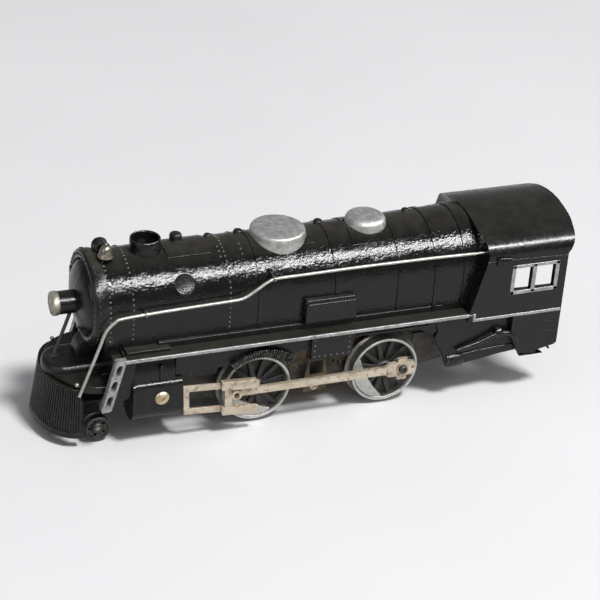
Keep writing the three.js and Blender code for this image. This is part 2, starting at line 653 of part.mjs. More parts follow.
// ---------------------------------------------------------------- assembly

const locomotive = new THREE.Group();
const engine = new THREE.Group();
engine.position.x = MIDPOINT_X;
locomotive.add(engine);

function place(name, shape, material) {
  const mesh = new THREE.Mesh(geometryOf(shape), material);
  mesh.name = name;
  engine.add(mesh);
}

// Places a left-hand piece and its mirror image.
function placePair(name, shape, material) {
  place(`${name}_left`, shape, material);
  place(`${name}_right`, mirrored(shape), material);
}

place('boiler_casting', boilerCasting(), blackEnamel);
place('boiler_front', boilerFront(), blackEnamel);
place('headlight_lens', headlightLens(), glass);
place('headlight_bulb', headlightBulb(), glass);
place('smokestack', smokestack(), blackEnamel);
place('sand_dome', sandDome(), silverPaint);
place('steam_dome', steamDome(), silverPaint);
place('bell', bell(), brass);
place('turbo_generator', turboGenerator(), blackEnamel);
place('handrail', handrail(), tinned);
place('front_rail_post', railPost(POSTS.front), tinned);
place('middle_rail_post', railPost(POSTS.middle), tinned);
place('front_brace', frontBrace(), blackEnamel);
place('pilot', pilot(), blackEnamel);
placePair('cylinder_screw', cylinderScrew(), brass);
placePair('crosshead_guide', crossheadGuide(), tinned);
placePair('crosshead', crosshead(), tinned);
placePair('main_rod', mainRod(), tinned);
placePair('crank_screw', crankScrew(), steel);
placePair('rear_driver', driver(-HALF_WHEELBASE, WEIGHT_ANGLE.rear, true), blackWheel);
placePair('front_driver', driver(HALF_WHEELBASE, WEIGHT_ANGLE.front, false), blackWheel);
place('rear_axle', drivingAxle(-HALF_WHEELBASE), steel);
place('front_axle', drivingAxle(HALF_WHEELBASE), steel);
place('rear_driver_gear', driverGear(-HALF_WHEELBASE, rearDriverPhase), brass);
place('front_driver_gear', driverGear(HALF_WHEELBASE, frontDriverPhase), brass);
place('rear_idler_gear', gear(TEETH.idler, 1.45, -IDLER.x, IDLER.z, rearIdlerPhase), brass);
place('front_idler_gear', gear(TEETH.idler, 1.45, IDLER.x, IDLER.z, frontIdlerPhase), brass);
place('motor_pinion', gear(TEETH.pinion, 1.15, 0, ARMATURE_Z, pinionPhase), steel);
place('motor_plate_left', motorPlate(true), steel);
place('motor_plate_right', motorPlate(false), steel);
place('field_core', fieldCore(), steel);
place('field_coil', fieldCoil(), copper);
place('armature_shaft', armatureShaft(), steel);
place('armature_core', armatureCore(), copper);
place('brush_plate', brushPlate(), fibre);
place('front_brush', brush(4), steel);
place('rear_brush', brush(-4), steel);
place('pickup_plate', pickupPlate(), fibre);
place('front_pickup_shoe', pickupShoe(13), tinned);
place('rear_pickup_shoe', pickupShoe(-13), tinned);
place('pilot_truck_frame', pilotTruckFrame(), steel);
place('pilot_pivot_screw', pilotPivotScrew(), brass);
place('pilot_truck_axle', truckAxle(PILOT_TRUCK.axleX), steel);
placePair('pilot_wheel', truckWheel(PILOT_TRUCK.axleX), blackWheel);
place('drawbar', drawbar(), steel);

export default locomotive;
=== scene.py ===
import json
from math import atan2, cos, degrees, hypot, pi, radians, sin, sqrt

import bmesh
import bpy
from mathutils import Matrix, Quaternion, Vector, noise


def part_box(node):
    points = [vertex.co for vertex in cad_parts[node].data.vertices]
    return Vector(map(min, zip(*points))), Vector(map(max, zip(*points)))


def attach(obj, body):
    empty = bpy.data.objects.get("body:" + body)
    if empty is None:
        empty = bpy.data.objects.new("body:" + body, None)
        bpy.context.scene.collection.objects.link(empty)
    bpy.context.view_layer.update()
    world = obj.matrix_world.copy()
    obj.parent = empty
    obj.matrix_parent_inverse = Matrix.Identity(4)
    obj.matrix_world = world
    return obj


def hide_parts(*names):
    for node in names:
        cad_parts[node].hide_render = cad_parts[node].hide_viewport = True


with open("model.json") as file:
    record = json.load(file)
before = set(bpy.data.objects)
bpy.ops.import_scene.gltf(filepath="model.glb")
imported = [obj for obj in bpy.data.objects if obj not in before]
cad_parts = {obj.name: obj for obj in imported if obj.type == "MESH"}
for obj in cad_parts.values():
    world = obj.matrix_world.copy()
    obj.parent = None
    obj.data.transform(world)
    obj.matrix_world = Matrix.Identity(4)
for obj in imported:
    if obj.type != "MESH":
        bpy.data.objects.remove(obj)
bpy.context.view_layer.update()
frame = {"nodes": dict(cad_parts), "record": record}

# -------- places, from the frame
# Shapes are written in millimetres with x = 0 midway between the driving axles, as in the CAD model.

MM = 0.001


def middle(node):
    low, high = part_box(node)
    return (low + high) / 2 / MM


REAR_AXLE, FRONT_AXLE = middle("rear_axle"), middle("front_axle")
ORIGIN_X = (REAR_AXLE.x + FRONT_AXLE.x) / 2
HALF_BASE = (FRONT_AXLE.x - REAR_AXLE.x) / 2
AXLE_Z = REAR_AXLE.z


def local(point):
    return point - Vector((ORIGIN_X, 0, 0))


BOILER_Z = middle("boiler_front").z
BOILER = ((-62, 19.3), (-29, 18.2), (2, 17.8), (58, 17.4), (90, 17.4))  # x, radius
RING_R = 18.2
BOARD = {"x0": -59.5, "x1": 80, "y": 25, "low": 36.3, "high": 38.1}
CAB = {"rear": -97.2, "roof_rear": -101.8, "half": 25, "eave": 60.5, "top": 72.4, "floor": 16}
STACK, SAND, STEAM = (local(middle(n)) for n in ("smokestack", "sand_dome", "steam_dome"))
HEADLIGHT_Z = middle("headlight_lens").z
CRANK = local(middle("crank_screw_left"))
SCREW = local(middle("cylinder_screw_left"))
PILOT_AXLE = local(middle("pilot_truck_axle"))

# -------- materials


class Shader:
    """A Principled material with the nodes that feed it."""

    def __init__(self, name, **values):
        self.material = bpy.data.materials.new(name)
        self.material.use_nodes = True
        self.tree = self.material.node_tree
        self.surface = self.tree.nodes["Principled BSDF"]
        for socket, value in values.items():
            self.surface.inputs[socket.replace("_", " ")].default_value = value
        self.place = self.add("ShaderNodeTexCoord").outputs["Object"]

    def add(self, kind, inputs=None, **settings):
        node = self.tree.nodes.new(kind)
        for key, value in settings.items():
            setattr(node, key, value)
        for key, value in (inputs or {}).items():
            self.feed(node.inputs[key], value)
        return node

    def feed(self, socket, value):
        if isinstance(value, bpy.types.NodeSocket):
            self.tree.links.new(value, socket)
        else:
            socket.default_value = value

    def grain(self, size_mm, detail=4, stretch=(1, 1, 1), distortion=0.0):
        place = self.add("ShaderNodeMapping", {"Vector": self.place, "Scale": stretch}).outputs[0]
        inputs = {"Vector": place, "Scale": 1 / (size_mm * MM), "Detail": detail, "Distortion": distortion}
        return self.add("ShaderNodeTexNoise", inputs).outputs["Fac"]

    def span(self, value, low, high, to_low=0.0, to_high=1.0):
        inputs = {"Value": value, "From Min": low, "From Max": high, "To Min": to_low, "To Max": to_high}
        return self.add("ShaderNodeMapRange", inputs, clamp=True).outputs[0]

    def patches(self, size_mm, detail, low, high, to_low=0.0, to_high=1.0, **shape):
        """Noise stretched between two levels, which gives soft-edged patches."""
        return self.span(self.grain(size_mm, detail, **shape), low, high, to_low, to_high)

    def maths(self, operation, a, b):
        return self.add("ShaderNodeMath", {0: a, 1: b}, operation=operation).outputs[0]

    def times(self, a, b):
        return self.maths("MULTIPLY", a, b)

    def mix(self, amount, first, second):
        """Colours may be plain triples; the mix node's colour sockets are its seventh and eighth."""
        node = self.add("ShaderNodeMix", data_type="RGBA")
        for index, value in ((0, amount), (6, first), (7, second)):
            self.feed(node.inputs[index], (*value, 1.0) if isinstance(value, tuple) else value)
        return node.outputs[2]

    def facing_up(self):
        normal = self.add("ShaderNodeTexCoord").outputs["Normal"]
        return self.add("ShaderNodeSeparateXYZ", {0: normal}).outputs["Z"]

    def edges(self, radius_mm=0.3):
        """One along sharp edges, zero on open faces."""
        rounded = self.add("ShaderNodeBevel", {"Radius": radius_mm * MM}, samples=4).outputs[0]
        plain = self.add("ShaderNodeNewGeometry").outputs["Normal"]
        match = self.add("ShaderNodeVectorMath", {0: rounded, 1: plain},
                         operation="DOT_PRODUCT").outputs["Value"]
        return self.span(self.maths("SUBTRACT", 1.0, match), 0.01, 0.09)

    def bump(self, height, depth_mm, strength=1.0):
        inputs = {"Height": height, "Distance": depth_mm * MM, "Strength": strength}
        self.feed(self.surface.inputs["Normal"], self.add("ShaderNodeBump", inputs).outputs[0])

    def colour(self, value):
        self.feed(self.surface.inputs["Base Color"], value)

    def roughness(self, value):
        self.feed(self.surface.inputs["Roughness"], value)

    def metal(self, value):
        self.feed(self.surface.inputs["Metallic"], value)


def lighter(shade):
    return tuple(1.8 * level for level in shade)


DUST = (0.075, 0.068, 0.048)
RUST = (0.16, 0.06, 0.02)
BARE_METAL = (0.40, 0.37, 0.32)


def enamel(name, shade, gloss, dust, grain_mm, depth_mm, chips=0.0):
    """Thick black enamel, speckled in the light, dusty on top, with optional bare chips along its edges."""
    s = Shader(name, Specular_IOR_Level=0.3)
    top = s.times(s.span(s.facing_up(), 0.80, 0.99), s.patches(7, 6, 0.3, 0.65, 0.35, 1))
    specks = s.times(s.patches(0.8, 3, 0.64, 0.72), 0.35)
    amount = s.times(s.maths("MAXIMUM", top, specks), dust)
    base = s.mix(s.patches(4, 5, 0.3, 0.7), shade, lighter(shade))
    base = s.mix(amount, base, DUST)
    if chips:
        bare = s.times(s.edges(), s.patches(1.3, 5, 0.5, 0.58, 0, chips))
        base = s.mix(bare, base, BARE_METAL)
    s.colour(base)
    s.roughness(s.maths("ADD", s.patches(2.4, 5, 0.3, 0.7, gloss, gloss + 0.12), s.times(amount, 0.4)))
    lumps = s.times(s.grain(1.9, 2), 0.5)
    s.bump(s.maths("ADD", lumps, s.grain(grain_mm, 3)), depth_mm)
    return s.material


def silver_paint(name, light, dark, wear):
    """Mottled silver paint over black, thin enough to show through, with painted shade on faces turned
    sideways and down.
    """
    s = Shader(name)
    mottle = s.patches(2.6, 6, 0.3, 0.7)
    worn = s.patches(1.1, 5, 0.58, 0.66, 0, wear, distortion=0.6)
    # Painted shade: faces turned sideways and down are darkened towards olive grey in patches.
    low = s.times(s.span(s.facing_up(), 0.55, -0.2, 0, 0.55), s.patches(4, 4, 0.38, 0.6))
    tone = s.mix(low, s.mix(mottle, dark, light), (0.16, 0.155, 0.10))
    s.colour(s.mix(worn, tone, (0.02, 0.02, 0.018)))
    s.metal(s.span(worn, 0, 1, 0.55, 0.0))
    s.roughness(s.patches(1.8, 4, 0.3, 0.7, 0.34, 0.58))
    s.bump(s.grain(0.9, 5), 0.05, 0.7)
    return s.material


def tarnished(name, light, dark, rust, rough=0.36):
    """Tinned or bare steel with tarnish, pits and rusty edges."""
    s = Shader(name)
    tarnish = s.patches(3.5, 6, 0.32, 0.68, stretch=(0.45, 1, 1))
    pits = s.patches(0.55, 3, 0.66, 0.72)
    rusty = s.times(s.patches(2.2, 6, 0.54, 0.68, distortion=0.8), rust)
    rim = s.times(s.edges(0.35), s.patches(1.2, 4, 0.36, 0.56, 0, 1.4 * rust))
    stain = s.maths("MAXIMUM", rusty, rim)
    s.colour(s.mix(pits, s.mix(stain, s.mix(tarnish, dark, light), RUST), (0.05, 0.04, 0.03)))
    s.metal(s.span(s.maths("MAXIMUM", stain, pits), 0, 0.8, 0.5, 0.1))
    s.roughness(s.patches(1.6, 5, 0.3, 0.7, rough, rough + 0.22))
    s.bump(s.grain(0.5, 4), 0.03, 0.6)
    return s.material


def dull(name, shade, rough, metallic=0.0):
    """A plain dull surface with some variation in shade and gloss."""
    s = Shader(name, Metallic=metallic)
    s.colour(s.mix(s.patches(2.0, 5, 0.32, 0.68), shade, lighter(shade)))
    s.roughness(s.patches(1.2, 4, 0.3, 0.7, rough, rough + 0.2))
    s.bump(s.grain(0.6, 4), 0.05, 0.6)
    return s.material


def winding(name):
    """Enamelled copper wire laid side by side, with painted shade in the grooves between the wires."""
    s = Shader(name, Metallic=0.8)
    inputs = {"Vector": s.place, "Scale": 1 / (1.1 * MM), "Distortion": 1.2, "Detail": 2.0}
    wires = s.add("ShaderNodeTexWave", inputs, bands_direction="Z").outputs["Fac"]
    # The dark bands, where the wave is low, are painted shade in the grooves between the wires.
    s.colour(s.mix(wires, (0.06, 0.02, 0.01), (0.36, 0.13, 0.05)))
    s.roughness(s.patches(1.5, 4, 0.3, 0.7, 0.3, 0.5))
    s.bump(wires, 0.15)
    return s.material


def wheel_black(name):
    """Dark grey wheel metal with greasy dirt and worn bright patches."""
    s = Shader(name)
    worn = s.times(s.edges(), s.patches(1.4, 5, 0.48, 0.62, 0, 0.6))
    grime = s.patches(3, 6, 0.35, 0.65)
    s.colour(s.mix(worn, s.mix(grime, (0.010, 0.010, 0.009), (0.032, 0.031, 0.027)), (0.22, 0.21, 0.19)))
    s.metal(s.span(worn, 0, 1, 0.2, 0.8))
    s.roughness(s.patches(2, 4, 0.3, 0.7, 0.38, 0.62))
    s.bump(s.grain(0.8, 5), 0.06, 0.7)
    return s.material


def floor_paper(name):
    """The plain pale sheet under the part."""
    s = Shader(name, Roughness=0.75)
    s.colour(s.mix(s.patches(160, 4, 0.3, 0.7), (0.84, 0.84, 0.85), (0.88, 0.88, 0.89)))
    return s.material


ENAMEL = enamel("glossy_enamel", (0.004, 0.004, 0.0038), 0.08, 0.45, 1.0, 0.15)
SIDE_ENAMEL = enamel("side_enamel", (0.0055, 0.0055, 0.0053), 0.24, 0.3, 0.9, 0.07)
RING_ENAMEL = enamel("ring_enamel", (0.006, 0.0058, 0.005), 0.2, 0.7, 0.7, 0.10, chips=0.3)
CAB_ENAMEL = enamel("cab_enamel", (0.0045, 0.0045, 0.0045), 0.18, 0.25, 1.2, 0.05)
STACK_ENAMEL = enamel("stack_enamel", (0.005, 0.005, 0.0048), 0.2, 0.3, 0.8, 0.08, chips=0.8)
DECK_PAINT = enamel("deck_paint", (0.006, 0.006, 0.0055), 0.26, 0.2, 0.9, 0.12, chips=0.15)
# Rivet heads are a lighter grey than the black enamel round them: a painted highlight standing for their
# glints.
RIVET_HIGHLIGHT_PAINT = dull("rivet_painted_highlight", (0.05, 0.048, 0.042), 0.25)
DARK_METAL = dull("dark_metal", (0.02, 0.02, 0.019), 0.5)
DOME_SILVER = silver_paint("dome_silver", (0.47, 0.48, 0.46), (0.30, 0.31, 0.30), 0.12)
STRIPE_SILVER = silver_paint("stripe_silver", (0.44, 0.45, 0.45), (0.27, 0.28, 0.28), 0.55)
TINNED = tarnished("tinned_steel_face", (0.62, 0.55, 0.44), (0.42, 0.35, 0.26), 0.75)
RAIL = tarnished("rail_wire", (0.50, 0.49, 0.45), (0.32, 0.31, 0.28), 0.15, 0.3)
STEEL = tarnished("aged_steel", (0.30, 0.29, 0.27), (0.14, 0.13, 0.12), 0.3)
# Near-black steel for the motor plates and frame lugs under the body: partly grime, partly painted shade from
# the body above.
DARK_STEEL_GRIME_AND_SHADE = tarnished("steel_grime_and_painted_shade", (0.07, 0.066, 0.056), (0.022, 0.021, 0.018), 0.2, 0.4)
TYRE_STEEL = tarnished("tyre_steel", (0.26, 0.26, 0.24), (0.12, 0.12, 0.11), 0.1, 0.3)
GEAR_BRASS = tarnished("gear_brass", (0.13, 0.10, 0.05), (0.04, 0.03, 0.015), 0.2, 0.34)
RIM_STEEL = tarnished("rim_steel", (0.60, 0.60, 0.57), (0.40, 0.40, 0.38), 0.08, 0.3)
BRASS = tarnished("dirty_brass", (0.66, 0.58, 0.42), (0.40, 0.31, 0.17), 0.1, 0.22)
BELL_BRASS = tarnished("bell_brass", (0.34, 0.31, 0.25), (0.12, 0.10, 0.075), 0.1, 0.14)
BLACKENED = dull("blackened_steel_face", (0.03, 0.03, 0.03), 0.4, metallic=0.5)
WHEEL = wheel_black("wheel_metal")
FIBRE = dull("fibre_board", (0.12, 0.05, 0.025), 0.7)
CARBON = dull("carbon_face", (0.015, 0.015, 0.015), 0.6)
COPPER = winding("copper_wire")
LENS = silver_paint("lens_cream", (0.50, 0.47, 0.39), (0.20, 0.19, 0.155), 0.6)
BULB = Shader("bulb_glass", Transmission_Weight=0.9, Roughness=0.08).material
FLOOR = floor_paper("floor_paper")

# -------- mesh helpers


def mesh_of(vertices, faces):
    bm = bmesh.new()
    made = [bm.verts.new(v) for v in vertices]
    for face in faces:
        bm.faces.new([made[i] for i in face])
    return bm


def as_mesh(name, bm):
    mesh = bpy.data.meshes.new(name)
    bm.to_mesh(mesh)
    bm.free()
    return mesh


def placed(name, data):
    made = bpy.data.objects.new(name, data)
    bpy.context.scene.collection.objects.link(made)
    return made


def join(*parts):
    whole = bmesh.new()
    for part in parts:
        mesh = as_mesh("part", part)
        whole.from_mesh(mesh)
        bpy.data.meshes.remove(mesh)
    return whole


def mirrored(bm):
    copy = bm.copy()
    for v in copy.verts:
        v.co.y = -v.co.y
    bmesh.ops.reverse_faces(copy, faces=copy.faces)
    return copy


def both(bm):
    return join(bm, mirrored(bm))


def on_side(side, bm):
    """Shapes are written for the left side; the right side's are their mirror images."""
    return bm if side == "left" else mirrored(bm)


def moved(bm, x=0.0, y=0.0, z=0.0):
    bmesh.ops.translate(bm, verts=bm.verts, vec=(x, y, z))
    return bm


def turned(bm, angle, axis="Y"):
    bmesh.ops.rotate(bm, verts=bm.verts, matrix=Matrix.Rotation(radians(angle), 3, axis))
    return bm


def loft(sections, closed=False):
    """Joins equal loops of points; the ends are capped unless the loops close on themselves."""
    count = len(sections[0])
    vertices = [point for section in sections for point in section]
    faces = []
    for i in range(len(sections) if closed else len(sections) - 1):
        a, b = i * count, ((i + 1) % len(sections)) * count
        for j in range(count):
            k = (j + 1) % count
            faces.append((a + j, a + k, b + k, b + j))
    if not closed:
        faces.append(tuple(reversed(range(count))))
        faces.append(tuple(range((len(sections) - 1) * count, len(sections) * count)))
    bm = mesh_of(vertices, faces)
    bmesh.ops.recalc_face_normals(bm, faces=bm.faces)
    return bm


AXES = {"x": (1, 2, 0), "y": (0, 2, 1), "z": (0, 1, 2)}


def lathe(profile, axis, at=(0, 0, 0), segments=48, closed=False):
    """A turned solid from (radius, distance along the axis) pairs, ending on the axis unless closed."""
    across, up, along = AXES[axis]
    vertices, rings = [], []
    for radius, distance in profile:
        ring = []
        for i in range(1 if radius == 0 else segments):
            angle = 2 * pi * i / segments
            point = Vector(at)
            point[across] += radius * cos(angle)
            point[up] += radius * sin(angle)
            point[along] += distance
            ring.append(len(vertices))
            vertices.append(point)
        rings.append(ring)
    faces = []
    pairs = list(zip(rings, rings[1:])) + ([(rings[-1], rings[0])] if closed else [])
    for low, high in pairs:
        for i in range(segments):
            j = (i + 1) % segments
            corners = [low[i % len(low)], low[j % len(low)], high[j % len(high)], high[i % len(high)]]
            faces.append(tuple(dict.fromkeys(corners)))
    bm = mesh_of(vertices, faces)
    bmesh.ops.recalc_face_normals(bm, faces=bm.faces)
    return bm


def peg(radius, low, high, axis, at=(0, 0, 0), segments=24):
    """A plain round solid between two distances along an axis."""
    return lathe([(0, low), (radius, low), (radius, high), (0, high)], axis, at, segments)


PLANES = {"xz": (0, 2, 1), "xy": (0, 1, 2), "yz": (1, 2, 0)}


def plate(outline, plane, low, high):
    """An outline in a plane, between two distances along the third axis."""
    a, b, c = PLANES[plane]
    sections = []
    for distance in (low, high):
        section = []
        for first, second in outline:
            point = [0, 0, 0]
            point[a], point[b], point[c] = first, second, distance
            section.append(point)
        sections.append(section)
    return loft(sections)


def block(x0, x1, y0, y1, z0, z1):
    return plate([(x0, z0), (x1, z0), (x1, z1), (x0, z1)], "xz", y0, y1)


def arc(x, z, radius, start, end, steps=12):
    angles = (radians(start + (end - start) * i / steps) for i in range(steps + 1))
    return [(x + radius * cos(a), z + radius * sin(a)) for a in angles]


def smooth_path(points, steps=8):
    """A Catmull-Rom curve through the points."""
    points = [Vector(p) for p in points]
    ends = [2 * points[0] - points[1], *points, 2 * points[-1] - points[-2]]
    curve = []
    for p0, p1, p2, p3 in zip(ends, ends[1:], ends[2:], ends[3:]):
        for i in range(steps):
            t = i / steps
            curve.append(0.5 * (2 * p1 + (p2 - p0) * t + (2 * p0 - 5 * p1 + 4 * p2 - p3) * t * t
                                + (3 * p1 - p0 - 3 * p2 + p3) * t ** 3))
    return curve + [points[-1]]


def tube(points, radius, sides=14):
    """A round wire or pipe along a path."""
    points = [Vector(p) for p in points]
    side = None
    sections = []
    for i, point in enumerate(points):
        along = (points[min(i + 1, len(points) - 1)] - points[max(i - 1, 0)]).normalized()
        side = (along.orthogonal() if side is None else side - along * side.dot(along)).normalized()
        up = along.cross(side)
        angles = [2 * pi * j / sides for j in range(sides)]
        sections.append([point + radius * (cos(a) * side + sin(a) * up) for a in angles])
    return loft(sections)


def lumpy(bm, size, depth):
    """Uneven paint: every point moves a little along its normal."""
    bm.normal_update()
    for v in bm.verts:
        v.co += v.normal * depth * (noise.noise(v.co / size) + 0.5 * noise.noise(v.co / (size * 0.37)))
    return bm


def rivets(spots, radius, height):
    """Small domed heads at (point, normal) pairs."""
    heads = []
    for point, normal in spots:
        head = lathe([(radius, -0.15), (radius, 0.05), (radius * 0.72, height * 0.75), (0, height)],
                     "z", segments=8)
        bmesh.ops.holes_fill(head, edges=head.edges)
        head.transform(Matrix.Translation(point) @ Vector(normal).to_track_quat("Z",
                                                                                "Y").to_matrix().to_4x4())
        heads.append(head)
    return join(*heads)


def temporary(bm):
    return placed("temporary", as_mesh("temporary", bm))


def combined(operation, first, *others):
    """Cuts or joins closed solids."""
    target = temporary(first)
    tools = [temporary(other) for other in others]
    for tool in tools:
        modifier = target.modifiers.new("combine", "BOOLEAN")
        modifier.operation = operation
        modifier.solver = "MANIFOLD"
        modifier.object = tool
    result = bmesh.new()
    result.from_object(target, bpy.context.evaluated_depsgraph_get())
    for made in [target, *tools]:
        mesh = made.data
        bpy.data.objects.remove(made)
        bpy.data.meshes.remove(mesh)
    return result


def cut(first, *others):
    return combined("DIFFERENCE", first, *others)


def fused(first, *others):
    return combined("UNION", first, *others)


def round_edges(made, width, sharpest):
    modifier = made.modifiers.new("edges", "BEVEL")
    modifier.width = width * MM
    modifier.segments = 2
    modifier.limit_method = "ANGLE"
    modifier.angle_limit = radians(sharpest)
    return modifier


def piece(name, bm, material, body="chassis", bevel=0.2, stands_for=()):
    """Turns millimetres into the frame's metres, gives the piece its material, ties it to its body and hides
    the CAD nodes it stands for.
    """
    bmesh.ops.translate(bm, verts=bm.verts, vec=(ORIGIN_X, 0, 0))
    bmesh.ops.scale(bm, verts=bm.verts, vec=(MM, MM, MM))
    mesh = as_mesh(name, bm)
    mesh.materials.append(material)
    mesh.shade_smooth()
    made = placed(name, mesh)
    if bevel:
        round_edges(made, bevel, 38).harden_normals = True
    else:
        mesh.set_sharp_from_angle(angle=radians(50))
    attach(made, body)
    if stands_for:
        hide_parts(*stands_for)
    return made


# -------- boiler


def boiler_radius(x):
    for (x0, r0), (x1, r1) in zip(BOILER, BOILER[1:]):
        if x <= x1:
            return r0 + (r1 - r0) * max(0.0, (x - x0) / (x1 - x0))
    return BOILER[-1][1]


def keyhole(radius, base=BOARD["low"], steps=72, leg=7):
    """A round-topped, straight-sided section, from its right foot over the top to its left foot."""
    side = [(base + (BOILER_Z - base) * i / leg) for i in range(leg)]
    over = [(-radius * cos(pi * i / steps), BOILER_Z + radius * sin(pi * i / steps))
            for i in range(steps + 1)]
    return [(-radius, z) for z in side] + over + [(radius, z) for z in reversed(side)]


def boiler_band(x0, x1, lift, wall, step=1.0, base=BOARD["low"]):
    """A hollow length of boiler, raised above its surface by the lift."""
    count = max(1, round((x1 - x0) / step))
    sections = []
    for i in range(count + 1):
        x = x0 + (x1 - x0) * i / count
        radius = boiler_radius(x)
        outer = [(x, y, z) for y, z in keyhole(radius + lift, base)]
        inner = [(x, y, z) for y, z in reversed(keyhole(radius + lift - wall, base))]
        sections.append(outer + inner)
    return loft(sections)


def on_boiler(x, around, lift=0.0):
    """A point on the boiler and the way it faces, at an angle round from the left side."""
    radius = boiler_radius(x) + lift
    angle = radians(around)
    normal = Vector((0, cos(angle), sin(angle)))
    return Vector((x, 0, BOILER_Z)) + radius * normal, normal


def make_boiler():
    shell = lumpy(boiler_band(-68, 86, 0, 2.4), 4.2, 0.1)
    piece("boiler_shell", shell, ENAMEL, bevel=0, stands_for=["boiler_casting"])
    straps = [boiler_band(x - width / 2, x + width / 2, 0.42, 0.9, 0.5, 39)
              for x, width in ((26.4, 1.6), (-4.2, 1.9), (-29.7, 1.5), (-44.7, 1.5), (-57, 2.2))]
    piece("boiler_straps", lumpy(join(*straps), 1.8, 0.06), ENAMEL, bevel=0.12)
    spots = []
    for x in (38.2, 75.5, 84.2):
        for y, z in keyhole(boiler_radius(x), 40.5, 27, 6)[1:-1]:
            normal = Vector((0, y, max(z - BOILER_Z, 0))).normalized()
            spots.append(((x, y, z), normal))
    for x in (31.5, 40.0):
        spots += [on_boiler(x, angle) for angle in (60, 68, 76, 104, 112, 120)]
    # The boiler rivets carry painted highlights in their lighter grey.
    piece("boiler_rivets", rivets(spots, 0.48, 0.42), RIVET_HIGHLIGHT_PAINT, bevel=0)


def curved_patch(x0, x1, a0, a1, lift, steps=8):
    """A raised plate that follows the boiler's curve."""
    sections = []
    for x in (x0, x1):
        outer = [on_boiler(x, a0 + (a1 - a0) * i / steps, lift)[0] for i in range(steps + 1)]
        inner = [on_boiler(x, a1 + (a0 - a1) * i / steps, -0.4)[0] for i in range(steps + 1)]
        sections.append(outer + inner)
    return loft(sections)


def pop_valve(x, y, radius, height):
    """A small round knob on top of the boiler."""
    base = BOILER_Z + sqrt(boiler_radius(x) ** 2 - y * y) - 0.6
    top = base + height + 0.6
    profile = [(0, base), (radius, base), (radius, top - 0.9), (radius * 0.8, top - 0.2), (0, top)]
    return lathe(profile, "z", (x, y, 0), 20)


def make_boiler_details():
    patches = [curved_patch(43.2, 60, 66, 114, 0.5), both(curved_patch(78.8, 82.9, 41, 54, 0.4)),
               both(curved_patch(-24, -12, 100, 128, 0.35)), both(curved_patch(2, 6, 62, 74, 0.35))]
    piece("boiler_patches", lumpy(join(*patches), 2.5, 0.08), ENAMEL, bevel=0.25)
    valves = [pop_valve(53.2, -4.5, 2.4, 3.2), pop_valve(40.5, -5, 1.5, 1.0), pop_valve(28.4, -5, 1.9, 1.2),
              pop_valve(-3.8, -5, 1.9, 1.2), pop_valve(-40, -5, 1.6, 0.9)]
    piece("boiler_valves", join(*valves), DECK_PAINT, bevel=0.25)
    bosses = []
    for side in (30.5, 149.5):
        point, normal = on_boiler(55.5, side)
        profile = [(0, -0.8), (4.1, -0.8), (4.1, 0.3), (3.7, 0.6), (3.3, 0.35), (0, 0.35)]
        boss = lathe(profile, "z", segments=32)
        knurls = []
        for ring, count in ((0.9, 6), (1.9, 12), (2.8, 18)):
            for i in range(count):
                a = 2 * pi * i / count
                knurls.append((Vector((ring * cos(a), ring * sin(a), 0.3)), (0, 0, 1)))
        boss = join(boss, rivets(knurls, 0.36, 0.28))
        boss.transform(Matrix.Translation(point) @ normal.to_track_quat("Z", "Y").to_matrix().to_4x4())
        bosses.append(boss)
    piece("washout_plugs", join(*bosses), DECK_PAINT, bevel=0)


def make_front():
    profile = [(14.7, 84.6), (17.7, 84.6), (18.0, 85.4), (RING_R, 86.4), (RING_R, 88.9),
               (17.8, 89.7), (16.9, 90.1), (15.2, 90.0), (14.7, 89.5)]
    ring = lumpy(lathe(profile, "x", (0, 0, BOILER_Z), 96, True), 3, 0.12)
    piece("smokebox_ring", ring, RING_ENAMEL, bevel=0)
    heads = []
    for i in range(44):
        a = 2 * pi * i / 44
        out = Vector((0, cos(a), sin(a)))
        centre = Vector((0, 0, BOILER_Z))
        heads.append((centre + Vector((88.3, 0, 0)) + out * (RING_R - 0.02), out))
        heads.append((centre + Vector((90.05, 0, 0)) + out * 16.4, (1, 0, 0)))
    piece("ring_rivets", rivets(heads, 0.5, 0.36), RING_ENAMEL, bevel=0)
    door = [(0, 84.6), (14.45, 84.6), (14.45, 88.9), (14.1, 89.9), (12.9, 90.9), (11, 91.9),
            (8.6, 92.7), (6.2, 93.2), (3, 93.4), (0, 93.4)]
    dome = lumpy(lathe(door, "x", (0, 0, BOILER_Z), 72), 3, 0.15)
    piece("smokebox_door", dome, RING_ENAMEL, bevel=0, stands_for=["boiler_front"])
    hinge = [block(89.3, 91.4, -13.2, -11.2, BOILER_Z + dz - 1.4, BOILER_Z + dz + 1.4) for dz in (-5, 5)]
    piece("door_hinges", join(*hinge), RING_ENAMEL, bevel=0.3)
    barrel = [(3.5, 92.4), (4.4, 92.4), (4.4, 99.2), (4.2, 99.4), (3.5, 99.4)]
    piece("headlight_barrel", lathe(barrel, "x", (0, 0, HEADLIGHT_Z), 40, True), CAB_ENAMEL, bevel=0.1)
    rim = [(3.3, 99.3), (4.45, 99.3), (4.65, 99.8), (4.65, 101.3), (4.3, 101.8), (3.9, 101.9), (3.6, 101.5),
           (3.3, 101.3)]
    rim = lumpy(lathe(rim, "x", (0, 0, HEADLIGHT_Z), 48, True), 1.2, 0.08)
    piece("headlight_rim", rim, LENS, bevel=0)
    glass = [(0, 100), (3.4, 100), (3.5, 101.3), (2.8, 101.7), (1.5, 102), (0, 102.1)]
    piece("headlight_glass", lathe(glass, "x", (0, 0, HEADLIGHT_Z), 32), LENS, bevel=0,
          stands_for=["headlight_lens"])


def seated(profile, at, segments=64):
    """A turned fitting whose foot follows the round top of the boiler."""
    bm = lathe(profile, "z", (at.x, 0, 0), segments)
    radius = boiler_radius(at.x)
    crown = BOILER_Z + radius
    for v in bm.verts:
        drop = radius - sqrt(max(radius ** 2 - v.co.y ** 2, 1))
        v.co.z -= drop * min(1.0, max(0.0, (crown + 1.0 - v.co.z) / 0.5))
    return bm


